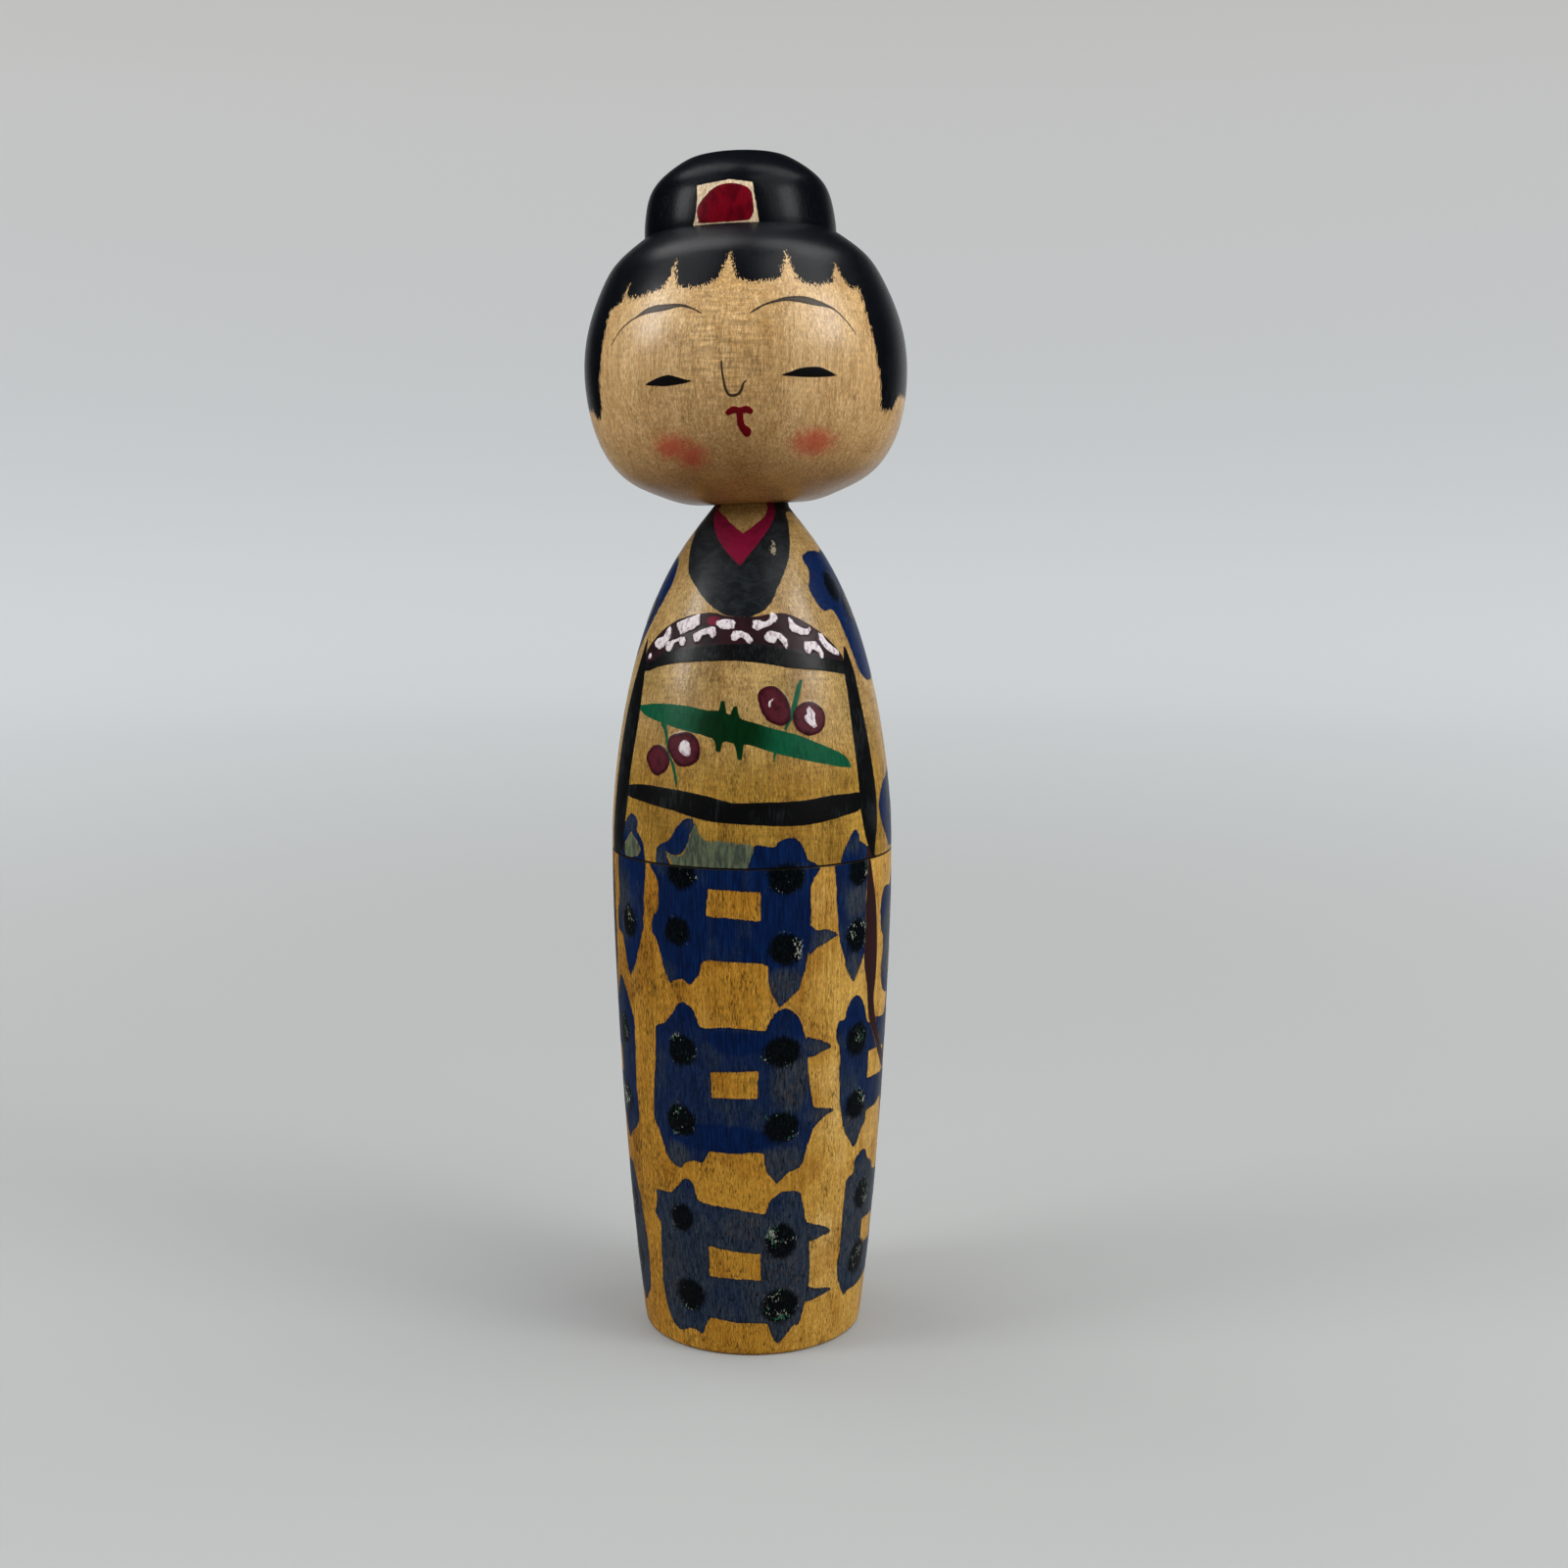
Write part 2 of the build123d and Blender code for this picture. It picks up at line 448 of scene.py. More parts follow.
def wood(g, light, dark, flecks=0.6, density=0.0, figure=None):
    """Turned wood with upright grain: returns its colour, its height for the bump, and its pores.
    density adds pores, and figure, a number or a layer times one, is the level ripple's strength."""
    broad = g.noise(8.0, 50.0, detail=2.0, shift=3.1)
    streak = g.noise(0.5, 12.0, detail=3.0, rough=0.65, shift=7.7)
    fine = g.noise(0.14, 2.6, detail=2.0, rough=0.6, shift=1.3)
    tone = g.math("ADD", g.math("MULTIPLY", broad, 0.9), g.math("MULTIPLY", streak, 1.1))
    tone = g.math("ADD", tone, g.math("MULTIPLY", fine, 0.6))
    colour = g.mix(light, dark, g.step(tone, 1.0, 1.62))
    if figure is not None:
        ripple = g.noise(4.0, 0.42, detail=3.0, rough=0.65, shift=11.0, warp=0.4)
        band = g.math("MULTIPLY", g.math("SUBTRACT", ripple, 0.5), figure)
        colour = g.dim(colour, g.math("ADD", 1.0, band))
    pearl = g.noise(0.2, 0.75, detail=2.0, rough=0.6, shift=29.0, warp=0.3)
    colour = g.dim(colour, g.math("ADD", 0.25, g.math("MULTIPLY", pearl, 1.5)))
    place = g.noise(2.4, 6.0, detail=1.0, shift=9.0)
    dash = g.noise(0.15, 1.0, detail=1.0, rough=0.4, shift=5.0, warp=0.25)
    ray = g.step(g.noise(0.2, 0.9, detail=1.0, shift=15.0, warp=0.25), 0.60, 0.68)
    colour = g.dim(colour, g.math("ADD", 1.0, g.math("MULTIPLY", ray, 0.16)))
    pore = g.math("ADD", g.math("ADD", dash, g.math("MULTIPLY", place, 0.35)), density)
    pore = g.step(pore, 0.80, 0.87)
    colour = g.mix(colour, g.dim(colour, 0.30), g.math("MULTIPLY", pore, flecks))
    lathe = g.noise(60.0, 0.22, detail=2.0, rough=0.7, shift=2.0)
    height = g.math("ADD", g.math("MULTIPLY", streak, 0.5), g.math("MULTIPLY", lathe, 0.6))
    height = g.math("SUBTRACT", height, g.math("MULTIPLY", pore, 0.8))
    return colour, height, pore


class Finish:
    """What has been laid on the surface so far: colour, roughness and height, added to coat by coat."""

    def __init__(self, g, colour, roughness, height, gloss):
        self.g, self.colour, self.roughness, self.height, self.gloss = g, colour, roughness, height, gloss

    def edge(self, layer, ragged, bristle=1.0, width=0.16):
        """The distance to the layer's edge, made uneven by the bristles and by the hand."""
        g = self.g
        hairs = g.math("SUBTRACT", g.noise(width, width * 14, detail=2.0, rough=0.6, shift=21.0), 0.5)
        hand = g.math("SUBTRACT", g.noise(1.1, 1.5, detail=3.0, rough=0.6, shift=33.0), 0.5)
        hairs = g.math("MULTIPLY", hairs, ragged * 1.8 * bristle)
        wobble = g.math("ADD", hairs, g.math("MULTIPLY", hand, ragged))
        return g.math("ADD", g.layer(layer), wobble)

    def lay(
        self, layer, colour, ragged=0.2, roughness=None, thick=0.5, soft=0.06, hold=1.0, gloss=0.1, **brush
    ):
        """Paints colour inside the layer's edge. hold below 1 lets what is under it through, and gloss is
        the varnish's weight over this paint."""
        g = self.g
        cover = g.step(self.edge(layer, ragged, **brush), soft, -soft)
        if hold != 1.0:
            cover = g.math("MULTIPLY", cover, hold)
        self.colour = g.mix(self.colour, colour, cover)
        if roughness is not None:
            self.roughness = g.blend(self.roughness, roughness, cover)
        self.gloss = g.blend(self.gloss, gloss, cover)
        self.height = g.math("ADD", self.height, g.math("MULTIPLY", cover, thick))
        return cover

    def stain(self, colour, low, high, amount, across=6.0, tall=9.0, shift=71.0):
        """Clouds of another tone, where the noise is above low."""
        g = self.g
        cloud = g.step(g.noise(across, tall, detail=4.0, rough=0.6, shift=shift), low, high)
        tint = g.vector("MULTIPLY", self.colour, colour)
        self.colour = g.mix(self.colour, tint, g.math("MULTIPLY", cloud, amount))

    def seam(self):
        """The dark line where two turned pieces meet."""
        line = self.g.step(self.g.layer("seam"), 0.24, 0.08)
        self.colour = self.g.mix(self.colour, (0.010, 0.007, 0.004), line)

    def close(self, coat_roughness, specular=0.12):
        """Joins all of it to the shader, and returns the material."""
        g, shader = self.g, self.g.shader
        g.set(shader.inputs["Base Color"], self.colour)
        g.set(shader.inputs["Roughness"], self.roughness)
        shader.inputs["Specular IOR Level"].default_value = specular
        g.set(shader.inputs["Coat Weight"], self.gloss)
        shader.inputs["Coat Roughness"].default_value = coat_roughness
        g.set(shader.inputs["Normal"], g.bump(self.height, strength=0.3, distance=0.06))
        return g.material


def black_paint(g):
    """Black brush paint, greyer where the brush ran dry."""
    hairs = g.noise(0.3, 6.0, detail=3.0, rough=0.6, shift=41.0)
    dry = g.math("MULTIPLY", hairs, g.noise(5.0, 5.0, shift=42.0))
    return g.mix((0.0028, 0.003, 0.0035), (0.015, 0.018, 0.020), g.step(dry, 0.24, 0.40))


def lining_paint(g):
    """The dark lining that shows inside the sleeves."""
    return g.mix((0.036, 0.010, 0.013), (0.022, 0.010, 0.009), g.noise(3, 6))


def blue_paint(g, distance, faded):
    """Ultramarine: deep where it pooled, a washed grey where it ran thin, streaked along the grain."""
    cloud = g.noise(4.5, 8.0, detail=3.0, rough=0.6, shift=51.0)
    wash = g.math("ADD", g.step(g.layer("wash"), 1.0, -1.6), g.step(cloud, 0.46, 0.72, end=0.6))
    wash = g.math("SUBTRACT", g.math("ADD", wash, faded), g.step(g.layer("deep"), 1.0, -0.8), clamp=True)
    brush = g.step(g.noise(0.24, 4.0, detail=3.0, rough=0.7, shift=57.0), 0.36, 0.68)
    flake = g.step(g.noise(0.2, 0.9, detail=2.0, rough=0.6, shift=59.0), 0.56, 0.70)
    deep = g.mix((0.0003, 0.0068, 0.042), (0.0008, 0.0195, 0.104), brush)
    thin = g.mix((0.011, 0.022, 0.042), (0.044, 0.064, 0.088), brush)
    thin = g.mix(thin, (0.110, 0.108, 0.095), g.math("MULTIPLY", flake, 0.5))
    speck = g.step(g.noise(0.18, 1.1, detail=1.0, shift=63.0), 0.58, 0.68)
    thin = g.mix(thin, (0.0022, 0.004, 0.012), speck)
    colour = g.mix(deep, thin, g.math("MULTIPLY", wash, 0.9))
    rim = g.step(distance, -0.4, -0.02)
    return g.mix(colour, g.dim(colour, 0.45), g.math("MULTIPLY", rim, 0.6))


def blot_paint(g):
    """The dark blots on the blue, scratched through in specks."""
    speck = g.noise(0.28, 0.6, detail=2.0, rough=0.7, shift=61.0)
    patch = g.noise(3.4, 3.4, detail=1.0, shift=66.0)
    worn = g.step(g.math("ADD", speck, g.math("MULTIPLY", patch, 0.9)), 1.12, 1.18)
    tint = g.mix((0.36, 0.40, 0.33), (0.03, 0.13, 0.075), g.step(g.noise(1.5, shift=68.0), 0.48, 0.6))
    ink = g.mix((0.0008, 0.0012, 0.0025), (0.003, 0.008, 0.009), g.step(speck, 0.4, 0.7))
    return g.mix(ink, tint, worn)


# ---------------------------------------------------------------- lower body: the skirt

BLUE_ROWS = [
    [
        (-31.7, 77), (-31.7, 73.2), (-31.9, 70.4), (-32.8, 68.8), (-34.6, 68.1), (-35.6, 67.1),
        (-35.5, 65.7), (-33.9, 64.9), (-31.9, 63.2), (-30.6, 61.3), (-28.4, 59.3), (-26.7, 58.4),
        (-24.4, 58.8), (-20.6, 59.1), (-17.8, 58.4), (-15, 59.3), (-12.8, 60.7), (-10.9, 62.2),
        (0.6, 62.2), (12.7, 61.9), (14.1, 60.4), (15, 58.2), (17.2, 56.4), (18.9, 55.3), (21.1, 56),
        (23.9, 57), (26.7, 57.9), (27.8, 59.3), (29.4, 61), (30, 62.7), (31.3, 65), (31.4, 67.3),
        (31.4, 73.2), (31.1, 77),
    ],
    [
        (-20, 55.6), (-22.8, 55.4), (-24.4, 54.7), (-26.1, 53.8), (-28.3, 52.9), (-30.6, 52), (-35, 51.3),
        (-35.8, 50), (-36.1, 48.2), (-36.7, 45.4), (-37.8, 42.7), (-38.6, 40.5), (-38.9, 37.9),
        (-39.2, 36.4), (-36.7, 35.1), (-35, 33.7), (-33.3, 32), (-31.7, 30.9), (-28.3, 30), (-25, 29.7),
        (-22.8, 30.5), (-18.3, 31.2), (-14.4, 30.9), (-12.2, 32), (-10.2, 32.9), (-0.6, 32.8),
        (11.2, 33), (12.8, 31.4), (14.4, 29.8), (16.7, 28.7), (18.3, 28), (21.1, 28.9), (24.4, 29.8),
        (28.9, 30.3), (30.6, 32), (32.2, 33.9), (33.9, 35.8), (34.4, 38.9), (33.3, 41.1), (32.4, 42.8),
        (31.7, 44.9), (31.1, 47.5), (30, 50.2), (28.9, 51.8), (27.2, 53.5), (24.4, 54.6), (21.1, 55.2),
        (17.8, 54.7), (15.6, 53.8), (13.9, 52.4), (13.2, 51.9), (3.9, 52.2), (-1.7, 52.3), (-13.2, 52.1),
        (-15, 53.5), (-16.7, 54.7),
    ],
    [
        (-22.8, 28.1), (-25, 27.6), (-26.1, 27), (-28.3, 26.4), (-31.5, 25.3), (-40.4, 25), (-41.1, 23.6),
        (-42.2, 22), (-43.3, 21.2), (-40.6, 20.1), (-39.4, 19.5), (-40.6, 16.1), (-41.1, 12.3),
        (-41.7, 10.1), (-40.6, 7), (-38.3, 4.5), (-35, 3.2), (-31.1, 2.7), (-27.2, 3.2), (-22.8, 3.5),
        (-18.3, 3), (-16.1, 4.5), (-13.9, 5.7), (-11.7, 5.9), (0, 5.5), (13.7, 5.4), (15.6, 4.5),
        (17.8, 2.9), (20, 1.9), (22.8, 2.6), (26.1, 3.9), (28.3, 4.6), (31.1, 4.6), (32.8, 6.4),
        (34.6, 9.2), (35.6, 12.9), (35, 16.1), (33.9, 19.4), (31.7, 22.6), (30.6, 24.5), (29.4, 26.1),
        (26.1, 26.7), (21.7, 26.7), (18.3, 26.2), (15.6, 25.4), (13.9, 23.9), (12.6, 23.3), (8.3, 23.6),
        (-0.6, 24.1), (-8.3, 24.4), (-16.1, 24.8), (-17.8, 25.8), (-18.9, 27.5), (-20.5, 28),
    ],
]
WINDOWS = [
    [(-9.4, 73), (11.1, 72.6), (11.1, 68.4), (-10.2, 69)],
    [(-9.2, 45.3), (10.1, 45.7), (10, 41.5), (-9, 41.4)],
    [(-12.6, 17.7), (11.1, 16.8), (11.6, 12.6), (-12.8, 12.9)],
]
FINS = [
    [
        (31, 67.2), (34, 66.5), (38, 66.6), (41.7, 66), (44, 65.4), (40.6, 64.9), (38, 64.4), (34, 63.9),
        (30.5, 63),
    ],
    [(30, 50.4), (33, 50.2), (38.3, 49.5), (42.3, 48.5), (38.5, 48), (31, 47.4)],
    [(33.5, 39.4), (36, 39.3), (40.6, 39), (44.9, 38.4), (41, 37.9), (37, 37), (33.6, 36.2)],
    [(32, 21.1), (38.3, 20.6), (42.8, 20), (46.4, 18.9), (41, 18.5), (34.5, 18.2)],
    [(34.2, 10.6), (39.4, 10.1), (46.1, 9.7), (49.8, 9.1), (44, 8.7), (34, 8.2)],
]
BLOTS = [
    (-20.5, 75, 2.4, 2.4), (21.1, 74.8, 2.8, 2.6), (-22.8, 66.3, 2.3, 2.2), (21.1, 64, 2.6, 2.4),
    (-22.2, 48.2, 2.4, 2.5), (20, 48.5, 2.9, 2.4), (-24, 37.2, 2.6, 2.5), (20, 36.8, 2.7, 2.5),
    (-25.8, 21.6, 2.1, 2.3), (20.8, 18.7, 2.5, 2.8), (-23.5, 9.2, 2.5, 2.6), (21, 8.2, 2.9, 2.8),
]
RIGHT_COLUMN = [
    [
        (43.3, 77), (43, 71.8), (43.7, 67.9), (44.6, 64.9), (47.2, 62.1), (49.4, 59.6), (52.9, 57.8),
        (55.6, 59), (57.8, 60.4), (60, 62.5), (62, 66), (61, 77),
    ],
    [
        (55.6, 55.6), (52.8, 55.2), (50, 53.8), (48.9, 52.4), (45.6, 52), (44.4, 50.7), (45, 49),
        (46.7, 47.7), (46.9, 44.1), (47.4, 40.2), (48.3, 38.4), (50, 35.7), (52.2, 33.9), (55.6, 32.5),
        (57.9, 31.5), (60.6, 32), (62.8, 33.6), (66.5, 35), (67.5, 36.5), (76, 36.5), (86, 37), (88, 33),
        (92, 31.5), (96, 33), (101, 37), (104, 42), (104, 48), (101, 53), (94, 55.5), (88, 54),
        (84, 50.5), (70, 51), (65, 50.5), (62.8, 51.8), (60.6, 53.8), (58.3, 55),
    ],
    [
        (65.6, 30.3), (61.7, 29.8), (59.4, 28.9), (58.9, 27.3), (54.4, 26.4), (53.9, 24.5), (53.3, 21.7),
        (53.3, 18.6), (52.8, 15.4), (52.2, 12.9), (53.3, 10.7), (55.6, 8.9), (59.4, 7.2), (62.8, 7.6),
        (70.6, 7.6), (80, 8), (90, 8.2), (94, 6.5), (99, 5.5), (104, 8), (107, 13), (107, 20), (104, 25.5),
        (98, 28.5), (92, 28), (88, 25.5), (80, 25.8), (76.1, 27.6), (71.7, 28.3), (68.9, 30),
    ],
]
LEFT_COLUMN = [
    [
        (-40, 77), (-40, 70.4), (-40.6, 66.8), (-42.2, 64.3), (-44.4, 62.7), (-46.7, 60.4), (-49.4, 58.8),
        (-51.7, 57.9), (-53.9, 59.3), (-56.1, 61.6), (-58.3, 63.8), (-62.8, 64.3), (-63.3, 66.8),
        (-60.6, 69.6), (-60, 77),
    ],
    [
        (-61.1, 57), (-57.2, 55.4), (-54.4, 53.8), (-51.7, 52.1), (-50.6, 50.4), (-50.6, 48.2),
        (-51.1, 44.1), (-51.7, 40.2), (-50.8, 37.5), (-51.7, 34.8), (-56.1, 33.2), (-60.6, 32.3),
        (-64, 31), (-68, 32.2), (-72, 34.5), (-86, 34.8), (-91, 31.5), (-97, 31), (-102, 34), (-106, 39),
        (-106, 48), (-102, 53.5), (-95, 56.5), (-89, 53), (-74, 52.6), (-69, 54.5), (-65, 56.8),
    ],
    [
        (-62.8, 26.8), (-58.3, 23.6), (-55.6, 22), (-54.4, 18.6), (-52.8, 15.1), (-53.3, 10.7), (-55, 7.6),
        (-60, 5.6), (-66, 4.2), (-71, 6), (-74, 7.5), (-86, 7), (-90, 4.5), (-97, 4), (-103, 7.5),
        (-107, 13), (-107, 20), (-103, 25), (-96, 28.6), (-90, 26), (-87, 23.8), (-76, 24.4), (-71, 27),
    ],
]
SIDE_WINDOWS = [
    [(66.2, 46), (84, 45.4), (84.5, 41.3), (66.2, 41.7)],
    [(71, 18.5), (88, 18.1), (88.4, 14), (71, 14.3)],
    [(-69, 45.5), (-87, 45.2), (-87, 41), (-69, 41.2)],
    [(-73, 17), (-90, 17), (-90, 12.8), (-73, 13)],
]
SIDE_BLOTS = [
    (55, 74.6, 2.2, 2.4), (54.2, 64.8, 2.2, 2.6), (57, 48.6, 2.5, 2.6), (58.3, 38.3, 2.4, 2.4),
    (68.9, 22.9, 2.4, 2.4), (69.2, 12.6, 2.7, 2.8), (94, 48, 2.5, 2.5), (95, 38, 2.4, 2.5),
    (97, 22, 2.6, 2.5), (97, 12, 2.4, 2.6), (-51, 66.2, 2, 2.6), (-62.2, 48.8, 2.3, 2.5),
    (-64, 37.8, 2.4, 2.4), (-67.2, 20.7, 2.3, 2.4), (-68.4, 11.5, 2.4, 2.6), (-97, 47, 2.5, 2.4),
    (-97, 37.5, 2.4, 2.5), (-98, 19.5, 2.5, 2.5), (-97, 10.5, 2.5, 2.4),
]
SLEEVE_LINING = [
    (61.7, 77), (63.4, 75), (64.8, 73), (67.5, 69.5), (69.2, 65), (70, 61), (69.8, 57.5), (68.6, 54.5),
    (69.6, 52.5), (72.5, 50), (77, 47.3), (83, 44.9), (92, 43.6), (102, 44), (110, 46.6), (115, 51),
    (118, 57), (119.5, 65), (120, 77), (117, 77), (116.5, 65), (115, 58), (111.5, 52), (106, 47),
    (99, 42.6), (91, 41.1), (83, 42.3), (77, 44.6), (71.5, 47.5), (66, 50.5), (63.6, 53.5), (62.2, 56.8),
    (59.8, 60), (59.6, 65), (60, 70), (60.6, 74), (61, 77),
]
SLEEVE_PATCH = [
    (72.8, 68.8), (75, 70.4), (79.4, 71), (85, 70.7), (91, 72.5), (98, 73), (103, 70.5), (105, 66),
    (104.5, 60), (102, 55.5), (96, 53), (88.3, 53.6), (81.7, 54), (77.2, 55.4), (75, 58.2), (76.1, 60.4),
    (76.1, 63.2), (73.9, 64.3), (72.2, 66.8),
]


THIN_SPOTS = [
    (21, 58.5, 3, 3), (20, 31, 4, 2.6), (-26, 31.5, 2.2, 2.2), (20, 12, 5, 10), (-33, 12, 2.5, 8),
    (24, 44, 3, 5), (38, 65, 3, 2), (38, 49, 3.5, 1.6), (40, 38, 3, 1.6), (41, 19.5, 3.5, 1.6),
    (43, 9.3, 3.5, 1.6), (53, 60, 2, 2.6), (55, 70, 2.4, 3), (-55, 68, 2.6, 5), (68, 20, 8, 9),
    (-66, 17, 5, 9), (60, 35, 5, 3), (4, 21, 3.5, 2.5), (85, 62, 5, 6), (150, 40, 6, 14), (-150, 14, 6, 9),
]
DEEP_SPOTS = [
    (-6, 35.0, 6.5, 1.6), (2, 50, 3.0, 1.2), (-24, 68, 5, 6), (20, 67, 4, 5), (-24, 8.5, 1.2, 1.6),
]
BACK_TURNS = (182, 177, 184)  # how far round each row of the front is repeated behind
LEFT_SLEEVE = -8  # degrees that the right sleeve, mirrored, is turned by to be the left one


def sleeve_lining(chart):
    return areas(chart, [SLEEVE_LINING, moved(SLEEVE_LINING, LEFT_SLEEVE, flip=True)])


def skirt_layers(chart):
    strips = BLUE_ROWS + RIGHT_COLUMN + LEFT_COLUMN + FINS
    strips += [moved(row, turn, flip=True) for row, turn in zip(BLUE_ROWS, BACK_TURNS)]
    strips += [moved(fin, 180, flip=True) for fin in FINS]
    windows = WINDOWS + SIDE_WINDOWS
    windows += [moved(window, turn, flip=True) for window, turn in zip(WINDOWS, BACK_TURNS)]
    lining = sleeve_lining(chart)
    blue = without(areas(chart, strips), areas(chart, windows, smooth=False), lining)
    patches = areas(chart, [SLEEVE_PATCH, moved(SLEEVE_PATCH, LEFT_SLEEVE, flip=True)])
    blots = BLOTS + SIDE_BLOTS + [(180 - side, *rest) for side, *rest in BLOTS]
    blots += [(side, height, 2.3, 2.4) for side in (91, -99) for height in (67.5, 58.5)]
    return {
        "blue": union(blue, patches),
        "blot": ovals(chart, blots),
        "lining": lining,
        "wash": ovals(chart, THIN_SPOTS),
        "deep": ovals(chart, DEEP_SPOTS),
        "seam": at_the_waist(chart),
    }


def skirt_material():
    g = Graph("skirt_paint")
    # The wood changes across the doll, along the object's own X: more pores at -X. Up to +2 mm its colour
    # is a darker, browner copy, partly the wood's own tone and partly painted shade. Beyond +17 mm it is a
    # paler, bluer copy, which is a painted highlight for the stronger light on the +X side.
    # The dimming to 0.85 beyond -6 mm isn't wood: it stands in for weaker light on that side.
    density = g.step(g.side, 14, -16, start=0.0, end=0.062)
    colour, height, pore = wood(g, (0.66, 0.365, 0.052), (0.43, 0.195, 0.016), 0.74, density, figure=0.3)
    # painted shade, partly the wood's own darker tone: the colour darkened and browned on the side that
    # gets less light
    shaded = g.vector("MULTIPLY", colour, (0.85, 0.80, 0.74))
    shaded = g.dim(shaded, g.step(g.side, -6, -19, start=1.0, end=0.85))
    # painted highlight: the colour made paler and bluer on the +X side, where the light is stronger
    painted_highlight = g.vector("MULTIPLY", colour, (0.97, 1.08, 1.80))
    colour = g.mix(shaded, painted_highlight, g.step(g.side, 2, 17))
    coat = Finish(g, colour, g.blend(0.42, 0.5, pore), height, 0.14)
    coat.stain((0.80, 0.72, 0.60), 0.48, 0.66, 0.9)
    coat.stain((1.10, 1.22, 1.9), 0.50, 0.70, 0.8, across=9, tall=14, shift=73.0)
    coat.stain((0.30, 0.42, 0.50), 0.60, 0.72, 0.55, across=2.2, tall=5.0, shift=76.0)
    coat.lay("lining", lining_paint(g), 0.2, bristle=0.3)
    faded = g.math("ADD", g.step(g.height, 33, 21, end=0.5), g.step(g.height, 54, 46, end=0.26))
    distance = coat.edge("blue", 0.42, bristle=0.6)
    thin = g.step(g.layer("wash"), 0.4, -1.2)
    gaps = g.math("MULTIPLY", thin, g.step(g.noise(0.2, 1.6, shift=86.0), 0.5, 0.64))
    hold = g.math("SUBTRACT", 1.0, g.math("MULTIPLY", gaps, 0.07))
    coat.lay("blue", blue_paint(g, distance, faded), 0.42, roughness=0.4, hold=hold, soft=0.08, bristle=0.6)
    coat.lay("blot", blot_paint(g), 1.0, roughness=0.25, thick=0.9, soft=0.38, bristle=1.1, width=0.12)
    coat.colour = g.mix(coat.colour, g.dim(coat.colour, 0.4), g.math("MULTIPLY", pore, 0.45))
    coat.seam()
    return coat.close(coat_roughness=0.2)


# ---------------------------------------------------------------- upper body: the kimono's top

CRIMSON = [
    (-52, 128.6), (-50, 127.9), (-46.7, 127.6), (-25, 126.45), (-12, 125.3), (0, 124.05), (13, 125.5),
    (26.1, 126.75), (31.7, 127.75), (33, 128.6), (46, 128.6), (43.9, 127.6), (37.2, 126.5), (27.2, 125),
    (15, 122.9), (6.1, 121), (0, 119.4), (-6, 120.4), (-13.9, 121.75), (-27.2, 123.9), (-40.6, 125.9),
    (-49.4, 127.05), (-57, 127.9), (-58, 128.6),
]
COLLAR = [
    (-190, 126.1), (-120, 126.2), (-90, 126), (-76, 125.5), (-68.3, 124.25), (-60, 123.4), (-51.7, 121.6),
    (-45, 119.9), (-38.3, 118), (-29.4, 116.4), (-21.7, 114.75), (-15, 113.5), (-9.4, 112.7), (-5, 112.2),
    (5, 112), (10, 112.4), (16.1, 113.25), (20.6, 114.5), (24.4, 116.25), (29.4, 118), (35, 119.75),
    (42.8, 122.5), (48.3, 124.25), (55, 125.75), (60.6, 127), (75, 127.3), (120, 126.6), (190, 126.1),
    (190, 128.6), (50, 128.6), (44, 128), (37.2, 126.7), (27.2, 125.3), (15, 123.3), (6.1, 121.6),
    (0, 120.4), (-13.9, 122.2), (-27.2, 124.3), (-40.6, 126.3), (-49, 127.5), (-56, 128.6), (-190, 128.6),
]
OBI = [
    (-57, 106.4), (-55.6, 107.25), (-50.6, 108.75), (-43.9, 110.25), (-36.1, 111.4), (-26.1, 112.25),
    (-18.3, 112.6), (-11.7, 112.6), (-5, 112.2), (9.4, 112.1), (18.3, 112.5), (26.1, 112.55), (32.8, 112),
    (39.4, 111), (47.2, 109.5), (53.9, 107.75), (58.3, 106), (57.2, 105), (48.3, 105.5), (37.2, 106.3),
    (26.1, 107), (15, 107.6), (0, 107.8), (-16.1, 107.6), (-29.4, 107), (-40.6, 106), (-48.3, 104.9),
    (-55, 104.6),
]
BLACK_BAND = [
    (-60, 103.9), (-50.6, 103.8), (-43.9, 104.4), (-31.7, 105.2), (-18.3, 105.6), (0, 105.85), (15, 105.4),
    (26.1, 104.75), (37.2, 104.4), (48.3, 103.95), (59, 103.5), (60, 105), (57.2, 105.4), (48.3, 106),
    (37.2, 106.75), (26.1, 107.5), (15, 108.1), (0, 108.25), (-16.1, 108), (-29.4, 107.5), (-40.6, 106.5),
    (-48.3, 105.4), (-54, 105), (-60, 105.4),
]
LEFT_LINE = [
    (-60, 108.5), (-54, 104), (-51.8, 100.5), (-50.8, 96), (-52.5, 88), (-52.8, 84), (-55, 80), (-59, 76),
    (-69, 76), (-68, 84), (-67.5, 90), (-66, 98), (-63, 104), (-61, 108.5),
]
RIGHT_LINE = [
    (61.7, 107.6), (57.2, 104), (56.7, 100.5), (56.1, 94.5), (56.7, 87), (56.7, 84), (58.3, 80.75),
    (60.6, 78.25), (64.4, 76.3), (65.9, 76.3), (66.7, 78.25), (68.3, 80.75), (69.2, 84), (68.9, 87),
    (67.2, 94.5), (65.6, 100.5), (65.2, 104),
]
CRESCENT = [
    (-53.9, 86.6), (-46.1, 87.25), (-38.3, 87.4), (-27.2, 87.25), (-18.3, 86.95), (-9.4, 86.45), (-3.9, 86),
    (1.1, 85.6), (10.6, 85.7), (26.1, 85.75), (33.9, 86), (41.7, 86.25), (49.4, 86.2), (57.2, 86),
    (56.7, 83.75), (48.3, 83.1), (37.2, 82.5), (29.4, 82.2), (19.4, 82.2), (10.6, 82.4), (0, 82.6),
    (-9.4, 82.9), (-18.3, 83.55), (-25, 84.1), (-31.7, 84.4), (-40.6, 84.8), (-52.8, 85.3),
]
